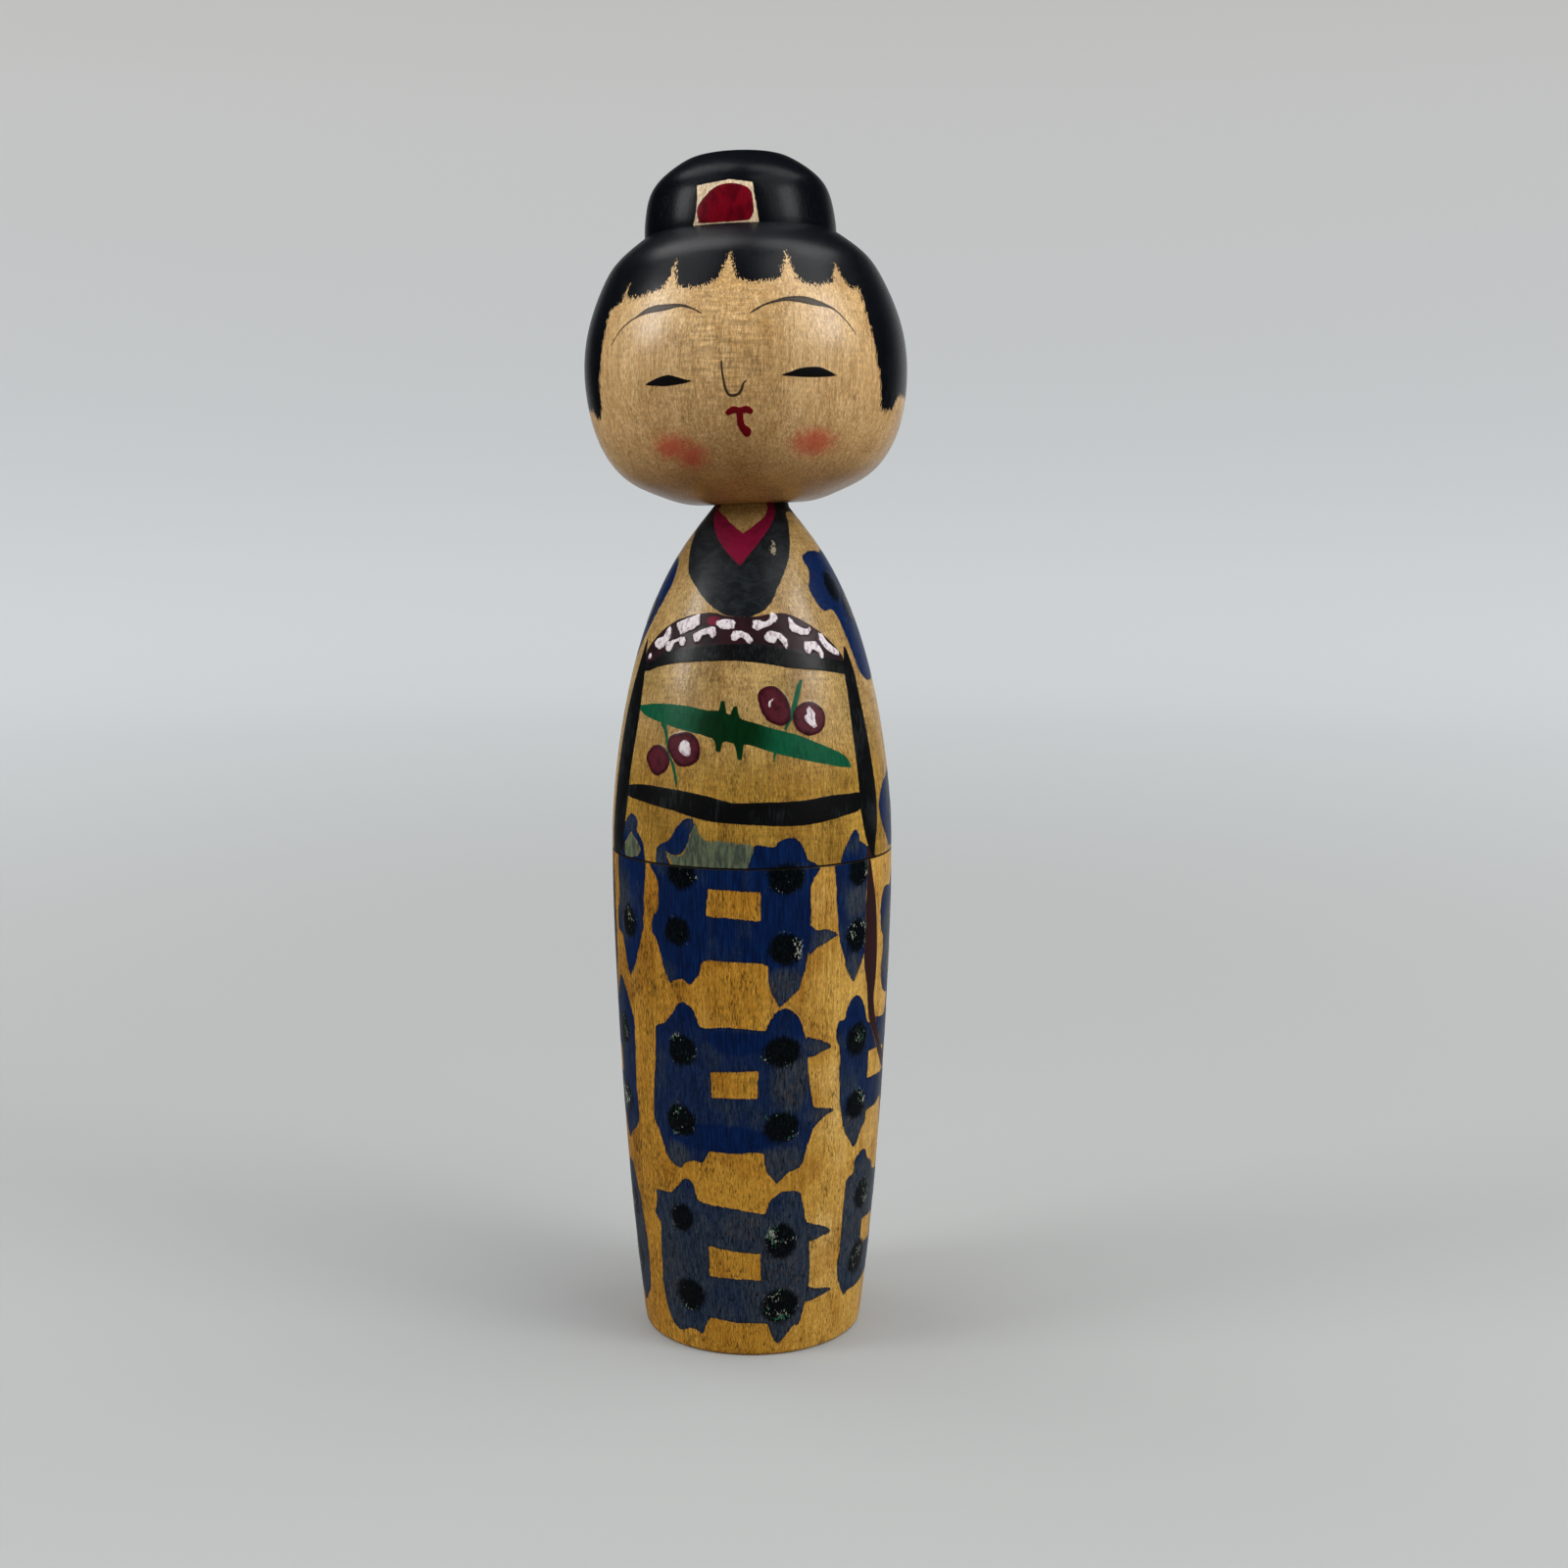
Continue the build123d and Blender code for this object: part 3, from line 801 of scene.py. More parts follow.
LEAF = [
    (-52.8, 98.75), (-47.2, 98.95), (-39.4, 99.3), (-30.6, 99.4), (-20.6, 99.25), (-11.7, 98.75),
    (-6.3, 98.75), (-5.6, 100.2), (-3.9, 100.1), (-3.2, 98.5), (-1.2, 98.2), (0, 99.5), (1.8, 99.3),
    (2.6, 97.9), (3.6, 97.6), (10.6, 96.9), (18.3, 96.1), (26.1, 95.4), (32.8, 94.5), (39.4, 93.5),
    (46.1, 92.5), (50, 91.75), (52.2, 90.9), (53.3, 89.9), (46.1, 90.25), (38.3, 90.9), (30.6, 91.5),
    (20.6, 92.4), (12.8, 93.25), (7.2, 93.9), (4.6, 94), (3.9, 91.7), (2.2, 91.8), (1.3, 93.4),
    (0.5, 94.1), (-2.8, 94.4), (-4.3, 94.2), (-5, 92.8), (-6.9, 92.9), (-7.6, 94.3), (-8.6, 94.8),
    (-13.9, 95.25), (-22.8, 95.8), (-31.7, 96.4), (-40.6, 97), (-46.1, 97.4), (-50.6, 98), (-53.3, 98.5),
]
STEMS = [
    [
        (31, 102.9, 0.22), (29.6, 102, 0.38), (28, 100.5, 0.42), (26, 98.6, 0.4), (23.6, 97, 0.25),
        (22.2, 96.1, 0.2),
    ],
    [(-33.3, 96.5, 0.5), (-31.7, 95.75, 0.35), (-30, 94, 0.25), (-28.3, 92, 0.2), (-26.1, 90.75, 0.25),
     (-24.4, 89, 0.25), (-23.7, 87.5, 0.12)],
    [(17.4, 92.6, 0.2), (16.7, 91.4, 0.08)],
]
BERRIES = [
    [(10.6, 101.1), (12.5, 102), (17, 102.3), (20.5, 101.8), (23.5, 100.6), (25, 99), (24.6, 97.5),
     (22, 96.7), (18.5, 96.7), (15, 97.3), (12.5, 98.4), (11, 99.8)],
    [(-28.5, 94.8), (-25, 95.3), (-21, 95.55), (-17, 95.2), (-14.5, 94.2), (-13.7, 92.8), (-14.8, 91.4),
     (-18, 90.7), (-21.5, 90.5), (-24.5, 90.9), (-27, 91.8), (-29.2, 93), (-29.5, 94)],
    [(-40.5, 92.2), (-37.5, 93.2), (-34, 93.4), (-30.5, 92.9), (-28.3, 91.9), (-27.7, 90.8), (-29, 89.9),
     (-31.5, 89.2), (-34, 88.9), (-37, 89.3), (-39.5, 90.3), (-41.3, 91.3)],
]
WHITE_DABS = [
    [(33.5, 99.2), (35, 98.8), (36.5, 98), (36, 97.3), (36.8, 96.3), (35, 96), (33, 96.6), (31.2, 97.2),
     (31, 97.8), (32.3, 98.2), (32.5, 98.9)],
    [(-24, 93.2), (-22.5, 94.2), (-20.5, 94.4), (-19, 94), (-18.2, 93.2), (-18, 92.3), (-19.5, 92),
     (-21.5, 92.2), (-23, 92.6)],
    [(-50.6, 108), (-48.3, 108.6), (-43.9, 109), (-42.2, 110), (-40.6, 110.5), (-38.9, 110.1),
     (-37.8, 108.75), (-40, 108.25), (-41.7, 107.5), (-45, 107.05), (-48.3, 107.4)],
    [(-40.6, 108.1), (-35, 108.6), (-30.6, 109.1), (-27.8, 109.1), (-27, 108.5), (-27.8, 107.8),
     (-30, 107.9), (-31.7, 108.4), (-34.4, 108), (-36.1, 107), (-37.8, 106.9), (-39.2, 107.1)],
    [(-35.6, 111), (-31.7, 111.5), (-26.1, 112), (-22.8, 112.4), (-21.1, 112.4), (-20.6, 111),
     (-22.8, 110.4), (-27.2, 109.9), (-31.7, 109.4), (-32.8, 110), (-35, 110.5)],
    [(-23.3, 109.5), (-21.1, 109.9), (-17.2, 110.4), (-12.8, 110.75), (-10.8, 110.5), (-10.6, 109.4),
     (-12.2, 109.05), (-14.4, 109.6), (-17.8, 109.4), (-19.4, 108.5), (-21.4, 108.4), (-22.8, 108.9)],
    [(-11.1, 111.5), (-7.2, 111.75), (-1.7, 111.6), (-0.3, 111.25), (-1.1, 110.4), (-5.6, 110.3),
     (-8.3, 110.5), (-10.8, 110.9)],
    [(-2.6, 109.4), (-1.1, 110.1), (2.8, 110.1), (6.7, 109.6), (8.6, 108.75), (7.2, 108.3), (5.6, 108.5),
     (3.9, 109.1), (1.7, 109.1), (0, 108.7), (-1.9, 108.8)],
    [(8.3, 110.5), (8.9, 111.6), (12.8, 111.6), (15.6, 111.4), (17.8, 111.9), (18.3, 112.9), (21.1, 112.5),
     (22.2, 112), (20.6, 111.3), (15, 110.6), (10.6, 110.2)],
    [(14.4, 109.4), (16.1, 109.95), (18.3, 110.1), (22.8, 109.75), (25.9, 108.9), (26.1, 108), (25, 107.4),
     (23.7, 108.25), (21.1, 109.1), (19.4, 108.25), (16.7, 108.4), (14.8, 108.75)],
    [(28.1, 110.5), (28.3, 112), (30, 111.6), (31.7, 110.9), (35, 110.5), (38.3, 110.25), (40, 110.75),
     (40.6, 110.1), (38.3, 109.4), (33.9, 109.55), (29.4, 110)],
    [(34.8, 107.5), (35.6, 108.4), (38.3, 108.55), (41.7, 108.4), (43.9, 107.6), (45.6, 106.75),
     (44.8, 105.9), (43.3, 106.1), (42.2, 107), (39.4, 107.25), (37.2, 106.75), (35.6, 106.9)],
    [(44.4, 108.75), (45.2, 109.6), (47.2, 109.5), (48.9, 108.5), (52.8, 107.5), (55.9, 106.9),
     (55.6, 106.2), (52.8, 106.4), (48.9, 107), (46.1, 107.75)],
]
RIGHT_SHOULDER = [
    (49.4, 120), (50.6, 120.75), (56.1, 121.25), (62.8, 121.45), (70.6, 121.45), (78.3, 121.25),
    (85, 121.6), (94, 121), (99, 117), (100, 111), (99, 105), (90, 102.4), (78, 102.2), (71.7, 103.4),
    (69.4, 104.75), (67.2, 107.5), (65, 110), (62.8, 112), (59.4, 112.9), (53.9, 112.7), (50.6, 113.25),
    (47.8, 114.5), (45.9, 116), (48.3, 117.25), (51.1, 118.75),
]
LEFT_SHOULDER = [
    (-95, 119.5), (-85, 120.9), (-75.6, 120.6), (-65, 120.25), (-58.3, 119.25), (-53.9, 117.25),
    (-54.4, 115.5), (-58.3, 113), (-62.8, 110.5), (-68.3, 108), (-73.9, 105.5), (-82, 103.4), (-92, 104),
    (-99, 108), (-101, 114),
]
SLEEVE_SPOT = [
    (71.1, 83.5), (73.3, 85.25), (77.2, 86.75), (82.8, 87.5), (90, 88.4), (98, 89), (104, 86.5),
    (105, 81.5), (101, 77.8), (93, 76.8), (85, 76.7), (81.7, 77.1), (76.1, 79.5), (73.3, 80.75),
]
EARS = [
    [(-38.9, 75), (-38.9, 76), (-40, 78.25), (-41.7, 79.4), (-44.4, 80.5), (-43.9, 81.6), (-46.1, 82.5),
     (-48.9, 82.75), (-51.7, 82.1), (-53.9, 81.25), (-59.4, 79), (-61, 76.2), (-61, 75)],
    [(-32.2, 75), (-32.6, 78), (-30.6, 78.9), (-26.1, 79.8), (-22.8, 81.75), (-19.4, 82.9), (-16.1, 83.1),
     (-15, 82.5), (-13.9, 81.9), (-15, 81.25), (-16.7, 80.25), (-18.3, 78.75), (-21.1, 77.75),
     (-25, 77.6), (-27.5, 77.4), (-25.5, 76), (-25, 75)],
    [(6.1, 75), (6.1, 76.3), (8.3, 79.4), (16.1, 79.2), (17.8, 79.9), (21.7, 80.45), (25, 80.4),
     (27.2, 79.6), (28.9, 78.25), (30.6, 77), (33.9, 76.4), (33.9, 75)],
    [(45.6, 75), (45.9, 77.25), (47.2, 78.25), (49.4, 79.5), (51.7, 80.6), (53.3, 80.75), (55, 80),
     (55.6, 79), (58.3, 78.5), (60.6, 78), (63.9, 77.75), (63.9, 75)],
]
PALE_EAR = [
    (-48.9, 80), (-51.7, 78.9), (-54.4, 77.75), (-54.4, 76.75), (-51.7, 76.1), (-45, 76.5), (-42.2, 77.4),
    (-43.3, 78.5), (-46.7, 79.5),
]
PALE_CENTRE = [
    (-28, 78), (-24, 77.5), (-20, 77.8), (-18, 79.5), (-16, 81.5), (-14.5, 82.2), (-11, 80.2), (-4, 80),
    (2, 79.8), (8.5, 79.2), (6, 76), (6, 75), (-22, 75), (-25, 76.8),
]
BACK_OBI = [
    (112, 110.5), (130, 112), (155, 112.8), (180, 113), (205, 112.8), (230, 112), (248, 110.5), (247, 98),
    (230, 97.3), (205, 97), (180, 97), (155, 97), (130, 97.3), (113, 98),
]
BACK_BAND = [
    (112.5, 106), (130, 105.6), (155, 105.2), (180, 105), (205, 105.2), (230, 105.6), (247.5, 106),
    (247.5, 103.6), (230, 103.2), (205, 102.9), (180, 102.8), (155, 102.9), (130, 103.2), (112.5, 103.6),
]
KNOT = [
    (150, 83.5), (149, 90), (150, 98), (152, 104.5), (158, 107), (180, 108), (202, 107), (208, 104.5),
    (210, 98), (211, 90), (210, 83.5), (205, 81.5), (180, 80.6), (155, 81.5),
]


BACK_LINE = [
    (116, 76), (117, 85), (115.5, 95), (113, 104), (110, 109.5), (106, 113), (107.5, 113.5), (112, 110.5),
    (115.5, 105), (118.5, 95), (120, 85), (119.5, 76),
]
KNOT_FOLD = [(151, 89.5, 0.35), (165, 88.9, 0.6), (180, 88.7, 0.65), (195, 88.9, 0.6), (209, 89.5, 0.35)]
SLEEVE_SLIT = [(60.6, 75), (60.6, 78), (64.4, 76.8), (67, 76.2), (67, 75)]
SHOULDER_BLOTS = [
    (70, 116.2, 2.2, 2.3), (21, 75.4, 2.3, 1.5), (-57, 77.6, 1.2, 1), (-74, 112.5, 2.2, 2.2),
    (84, 113, 2.3, 2.3), (130, 114, 1.8, 1.8), (-132, 113.5, 1.8, 1.8), (90, 82, 2.2, 1.8),
    (-97, 82, 2.2, 1.8),
]
TORSO_THIN_SPOTS = [
    (-16.5, 82.3, 0.8, 0.8), (-30, 77.2, 0.8, 1.2), (52, 78.5, 2, 1.2), (93, 86, 4, 2), (-50, 81, 3, 1.4),
]
BERRY_GLINT = [(17.8, 100.5, 0.12), (15.9, 100, 0.12), (15.6, 99.4, 0.08)]
KNOT_BORDER = 1.3
LINING_TOP = 78.5


def torso_layers(chart):
    knot = area(chart, KNOT)
    lines = [LEFT_LINE, RIGHT_LINE, CRESCENT, BACK_LINE, moved(BACK_LINE, 360, flip=True), BLACK_BAND]
    behind = without(area(chart, BACK_BAND), knot)
    border = np.maximum(knot, -knot - KNOT_BORDER)
    spots = EARS + [moved(ear, 180) for ear in EARS[1:3]]
    spots += [SLEEVE_SPOT, moved(SLEEVE_SPOT, LEFT_SLEEVE, flip=True), RIGHT_SHOULDER, LEFT_SHOULDER]
    spots += [moved(RIGHT_SHOULDER, 58, -0.5), moved(LEFT_SHOULDER, -57)]
    pale = areas(chart, [PALE_EAR, PALE_CENTRE])
    back_dabs = zip(WHITE_DABS[2:], (0.2, -0.2, 0, 0.3) * 3)
    dabs = WHITE_DABS + [moved(dab, 180, shift) for dab, shift in back_dabs]
    lining = np.maximum(sleeve_lining(chart), chart.height - LINING_TOP)
    return {
        "charcoal": area(chart, COLLAR),
        "chip": ovals(chart, [(25.5, 121.7, 0.35, 0.5), (27, 122.6, 0.16, 0.2)]),
        "crimson": area(chart, CRIMSON, smooth=False),
        "maroon": areas(chart, [OBI, BACK_OBI, KNOT]),
        "black": union(areas(chart, lines), behind, border, stroke(chart, KNOT_FOLD)),
        "leaf": union(area(chart, LEAF, smooth=False), strokes(chart, STEMS)),
        "berry": union(areas(chart, BERRIES), oval(chart, 33.5, 97.5, 2.65, 2.45)),
        "white": union(
            areas(chart, dabs, smooth=False),
            oval(chart, -51.7, 106, 0.45, 0.45),
            stroke(chart, BERRY_GLINT),
        ),
        "blue": without(areas(chart, spots), pale),
        "pale": pale,
        "blot": ovals(chart, SHOULDER_BLOTS),
        "lining": union(lining, area(chart, SLEEVE_SLIT)),
        "deep": ovals(chart, [(55, 116, 5, 5), (22, 79, 4, 2)]),
        "shade": oval(chart, -1, 96, 5.5, 5.5),
        "slip": ovals(chart, [(-12.5, 111.5, 1.1, 0.7), (-33, 106.3, 0.8, 0.3)]),
        "wash": ovals(chart, TORSO_THIN_SPOTS),
        "seam": at_the_waist(chart),
    }


def torso_material():
    g = Graph("kimono_paint")
    low = g.step(g.height, 99, 86)
    light = g.mix((0.49, 0.325, 0.118), (0.46, 0.270, 0.044), low)
    dark = g.mix((0.28, 0.155, 0.046), (0.27, 0.133, 0.016), low)
    colour, height, pore = wood(g, light, dark, flecks=0.6, density=0.02, figure=0.75)
    coat = Finish(g, colour, g.blend(0.42, 0.5, pore), height, 0.4)
    coat.stain((0.74, 0.74, 0.62), 0.46, 0.66, 0.8)
    coat.stain((0.35, 0.45, 0.45), 0.62, 0.74, 0.5, across=2.2, tall=5.0, shift=76.0)
    chalk = g.noise(0.6, 3.0, detail=3.0, rough=0.7, shift=79.0)
    pale = g.mix((0.030, 0.062, 0.055), (0.125, 0.17, 0.105), g.step(chalk, 0.36, 0.66))
    coat.lay("pale", pale, 0.5, thick=0.2, soft=0.15, hold=0.92)
    distance = coat.edge("blue", 0.36, bristle=0.6)
    coat.lay("blue", blue_paint(g, distance, 0.0), 0.36, roughness=0.38, soft=0.08, bristle=0.6)
    ink = g.mix((0.0008, 0.0012, 0.003), (0.002, 0.006, 0.014), g.noise(0.3, 1.0, shift=61.0))
    coat.lay("blot", ink, 1.0, roughness=0.25, thick=0.8, soft=0.5, bristle=1.1, width=0.12)
    coat.lay("lining", lining_paint(g), 0.2, bristle=0.3)
    wisp = g.noise(1.8, 1.1, detail=3.0, rough=0.65, shift=81.0, warp=0.8)
    charcoal = g.mix((0.0045, 0.0065, 0.0085), (0.016, 0.020, 0.024), g.step(wisp, 0.36, 0.72))
    coat.lay("charcoal", charcoal, 0.3, roughness=0.42, bristle=0.4)
    coat.lay("chip", (0.34, 0.29, 0.20), 0.7, thick=-0.4)
    crimson = g.mix((0.19, 0.0035, 0.030), (0.125, 0.003, 0.017), g.step(wisp, 0.45, 0.65))
    coat.lay("crimson", crimson, 0.22, roughness=0.42, bristle=0.3)
    cloud = g.step(g.noise(2.5, 3.0, shift=83.0), 0.4, 0.7)
    maroon = g.mix((0.026, 0.006, 0.010), (0.014, 0.005, 0.008), cloud)
    maroon = g.mix(maroon, crimson, g.step(coat.edge("slip", 0.5), 0.1, -0.2))
    coat.lay("maroon", maroon, 0.26, roughness=0.45, bristle=0.4)
    shade = g.layer("shade")
    cloud = g.math("MULTIPLY", g.noise(3.0, 3.0, detail=2.0, shift=88.0), 2.0)
    shade = g.step(g.math("ADD", shade, cloud), -1.6, 3.6)
    leaf = g.mix((0.0006, 0.025, 0.005), (0.0015, 0.095, 0.040), shade)
    streaky = g.noise(0.5, 2.4, detail=2.0, shift=93.0)
    leaf = g.mix(leaf, g.dim(leaf, 0.75), g.step(streaky, 0.4, 0.65))
    coat.lay("leaf", leaf, 0.2, roughness=0.35, bristle=0.4)
    coat.lay("black", black_paint(g), 0.2, roughness=0.4, thick=0.6, bristle=0.4)
    inner = g.step(g.layer("berry"), -0.25, -0.75)
    berry = g.mix((0.045, 0.003, 0.010), (0.085, 0.010, 0.018), inner)
    berry = g.mix(berry, g.dim(berry, 0.5), g.step(g.noise(0.8, 1.2, detail=2.0, shift=97.0), 0.45, 0.7))
    coat.lay("berry", berry, 0.3, roughness=0.36, thick=0.8, bristle=0.3)
    ridge = g.noise(0.45, 0.9, detail=3.0, rough=0.6, shift=99.0)
    white = g.mix((0.76, 0.70, 0.72), (0.38, 0.27, 0.33), g.step(ridge, 0.46, 0.68))
    coat.lay("white", white, 0.5, roughness=0.5, thick=1.6, soft=0.07, bristle=0.3)
    coat.height = g.math("ADD", coat.height, g.math("MULTIPLY", ridge, 0.5))
    coat.colour = g.mix(coat.colour, g.dim(coat.colour, 0.45), g.math("MULTIPLY", pore, 0.3))
    coat.seam()
    return coat.close(coat_roughness=0.2)


# ---------------------------------------------------------------- head

FACE = [
    (-58.9, 12.75), (-56.1, 13.6), (-54.2, 15.05), (-53.3, 17.3), (-51.3, 20.9), (-49.4, 25.1),
    (-48.8, 27.75), (-46.7, 28.2), (-43.9, 28.6), (-42.2, 29), (-40.8, 31.2), (-39.8, 29.6),
    (-37.8, 29.3), (-33.3, 28.9), (-31.1, 29.3), (-27.8, 29.55), (-24.4, 29.7), (-22.8, 30.2),
    (-21.1, 30.9), (-18.9, 33.7), (-17.8, 31.5), (-16.4, 30.1), (-14.4, 29.8), (-7.8, 29.7), (-4.4, 30.1),
    (-1.7, 30.7), (0.2, 31.5), (2, 33.2), (3.6, 34.4), (4.7, 32.6), (5.6, 30.9), (7.8, 30.5), (10, 30.1),
    (13.3, 30.05), (16.7, 30.2), (20, 30.3), (22.2, 30.9), (23.9, 32.3), (26.2, 34.3), (27.2, 32.3),
    (28.3, 30.7), (30, 30.05), (32.2, 29.7), (35.6, 29.6), (38.9, 29.8), (41.1, 30), (43.3, 30.1),
    (44.4, 30.9), (45.6, 31.9), (47.6, 32.75), (48.3, 31.5), (49.4, 30.1), (51.7, 29.4), (53.9, 29.4),
    (55.8, 29.55), (56.1, 26.5), (56.9, 23.4), (58.3, 20.7), (59.8, 17.9), (61.1, 15.9), (62.2, 14.3),
    (62.8, 12.9), (64, 8), (-60, 8),
]
BOB_HEM = [
    (-180, 14.2), (-120, 14.4), (-75, 13.3), (-60, 12.9), (60, 13), (66, 12.3), (72, 12.6), (76, 14.6),
    (120, 14.6), (180, 14.2),
]
BROWS = [
    [(-6.6, 25.95, 0.1), (-9, 26.55, 0.14), (-12, 27.05, 0.18), (-15, 27.3, 0.25), (-20, 27.2, 0.45),
     (-24.5, 27.15, 0.5), (-28.5, 26.9, 0.38), (-32, 26.35, 0.16), (-35.6, 25.8, 0.14), (-39, 25, 0.12),
     (-42, 23.95, 0.11), (-44.8, 22.85, 0.09)],
    [(10.2, 25.7, 0.1), (12.8, 26.3, 0.15), (15.6, 26.85, 0.15), (18.9, 27.2, 0.18), (23.3, 27.55, 0.3),
     (28.9, 27.45, 0.5), (33.3, 27.1, 0.5), (37.8, 26.65, 0.25), (41.1, 26.1, 0.15), (43.9, 25.1, 0.13),
     (46.7, 23.9, 0.12), (48.7, 22.7, 0.1)],
]
EYES = [
    [(-28.2, 16.8), (-24.5, 17.4), (-21, 17.78), (-18.5, 17.85), (-15.5, 17.5), (-12.5, 17.05),
     (-10.2, 16.85), (-13, 16.55), (-16.5, 16.4), (-20, 16.35), (-24, 16.5)],
    [(19.2, 17.1), (22, 17.45), (25.5, 17.95), (29, 18.15), (33, 18.15), (36, 17.75), (38.5, 17.3),
     (40, 17), (36, 16.8), (31, 16.75), (26, 16.8), (22, 16.95)],
]
NOSE = [
    (0, 19.3, 0.12), (0, 18.2, 0.16), (0.3, 17.05, 0.18), (0.8, 15.7, 0.19), (1.7, 14.8, 0.21),
    (3.3, 14.55, 0.21), (5.3, 14.8, 0.21), (6.4, 15.5, 0.18), (7, 16.2, 0.15), (8.1, 16.55, 0.09),
]
LIPS = [
    [(1.2, 12.3, 0.38), (3.2, 12.65, 0.5), (5.5, 12.5, 0.42), (7.5, 12.65, 0.5), (8.9, 12.35, 0.42)],
    [(5.2, 12.3, 0.42), (5.3, 11.2, 0.5), (5.7, 10.4, 0.5), (7.3, 9.6, 0.68)],
]


def head_layers(chart):
    face = area(chart, FACE, smooth=False)
    hem = np.interp(chart.degrees, *np.array(BOB_HEM + [(330, 12.9)]).T)
    hem = np.where(chart.degrees > 180, 14.3, hem)
    return {
        "hair": np.where(chart.painted, -np.minimum(face, chart.height - hem), FAR),
        "brow": strokes(chart, BROWS),
        "line": stroke(chart, NOSE),
        "ink": areas(chart, EYES),
        "mouth": strokes(chart, LIPS),
        "cheek": ovals(chart, [(-22, 8, 3.2, 1.9), (-15.5, 6.7, 2.8, 1.7), (33, 8, 3.5, 2)]),
        "ripple": np.clip(1.6 - np.hypot((chart.degrees - 2) / 12, (chart.height - 23) / 8), 0, 1),
    }


def lacquer(g, coat, ragged, bristle, gloss):
    """Black hair, brushed downward."""
    uneven = g.noise(0.5, 2.2, detail=3.0, rough=0.6, shift=17.0)
    hair = g.mix((0.0010, 0.0014, 0.0024), (0.0032, 0.0045, 0.0075), uneven)
    cover = coat.lay("hair", hair, ragged, 0.24, 0.9, 0.05, gloss=gloss, bristle=bristle, width=0.2)
    brushed = g.noise(0.35, 9.0, detail=3.0, rough=0.65, shift=19.0)
    coat.height = g.math("ADD", coat.height, g.math("MULTIPLY", g.math("MULTIPLY", brushed, cover), 1.8))


def head_material():
    g = Graph("face_paint")
    ripple = g.math("ADD", 0.4, g.math("MULTIPLY", g.layer("ripple"), 1.3))
    light, dark = (0.72, 0.49, 0.235), (0.48, 0.285, 0.105)
    colour, height, pore = wood(g, light, dark, 0.5, density=0.015, figure=ripple)
    coat = Finish(g, colour, g.blend(0.30, 0.42, pore), height, 0.55)
    coat.stain((0.82, 0.77, 0.66), 0.48, 0.68, 0.75, across=7, tall=7)
    coat.stain((1.12, 1.12, 1.22), 0.52, 0.66, 0.6, across=2.4, tall=3.2, shift=74.0)
    coat.stain((0.55, 0.55, 0.46), 0.63, 0.75, 0.4, across=1.6, tall=2.6, shift=76.0)
    mottle = g.noise(0.9, 1.5, detail=3.0, rough=0.65, shift=13.0)
    blush = g.math("ADD", g.layer("cheek"), g.math("MULTIPLY", g.math("SUBTRACT", mottle, 0.5), 2.2))
    blush = g.step(blush, 1.0, -1.5)
    coat.colour = g.mix(coat.colour, (0.56, 0.060, 0.038), g.math("MULTIPLY", blush, 0.74))
    brow = g.step(g.layer("brow"), -0.1, -0.32)
    brow = g.mix((0.014, 0.010, 0.008), (0.042, 0.037, 0.033), brow)
    coat.lay("brow", brow, 0.1, roughness=0.45, hold=0.95, bristle=0.5)
    coat.lay("line", (0.028, 0.015, 0.009), 0.08, roughness=0.4, hold=0.95, bristle=0.5)
    coat.lay("ink", (0.0045, 0.0038, 0.004), 0.1, roughness=0.3, bristle=0.5)
    coat.lay("mouth", (0.150, 0.0010, 0.006), 0.2, roughness=0.4, thick=0.8, bristle=0.5)
    lacquer(g, coat, 0.34, 4.6, 0.2)
    return coat.close(coat_roughness=0.27)


BARE_PATCH = [
    (-18.1, 44.9), (2.5, 45.45), (16.3, 44.95), (18.75, 39.35), (18.75, 38.5), (-20, 38.5), (-20, 39.35),
    (-18, 41), (-17.3, 43),
]
RIBBON = [
    (-16.5, 40), (-17.5, 41.3), (-16, 42.3), (-12.5, 43.25), (-7.5, 44.3), (-1.3, 44.85), (6.3, 44.8),
    (12.5, 44.3), (15.3, 43.5), (16, 42), (16, 40.7), (13.8, 39.85), (10, 39.5), (-15, 39.5),
]


def topknot_layers(chart):
    bare = area(chart, BARE_PATCH, smooth=False)
    return {"hair": np.where(chart.painted, -bare, FAR), "red": area(chart, RIBBON)}


def topknot_material():
    g = Graph("topknot_paint")
    colour, height, pore = wood(g, (0.74, 0.60, 0.42), (0.54, 0.38, 0.21), flecks=0.5)
    coat = Finish(g, colour, g.blend(0.4, 0.5, pore), height, 0.2)
    cloud = g.step(g.noise(1.4, 2.6, shift=27.0), 0.4, 0.65)
    red = g.mix((0.165, 0.0006, 0.008), (0.085, 0.0004, 0.005), cloud)
    coat.lay("red", red, 0.3, roughness=0.3, thick=0.8, bristle=0.3)
    lacquer(g, coat, 0.12, 1.0, 0.07)
    return coat.close(coat_roughness=0.2, specular=0.05)


# ---------------------------------------------------------------- the pieces

def upright(radius, angle, height):
    return radius * sin(angle), -radius * cos(angle), max(height, 0.0)


def on_the_head(radius, angle, height):
    out = HEAD_SIDE * (radius * sin(angle)) + HEAD_UP * height
    x, y, z = HEAD_ORIGIN + out
    return x, y - radius * cos(angle), z


BORE = 4.05  # the radius of the neck's bore
BORE_LIMIT = 4.9  # stations inside this radius and above BORE_FLOOR are the bore's
BORE_FLOOR = 112.0
RIM_GAP = 0.06  # between the neck's rim and the chin


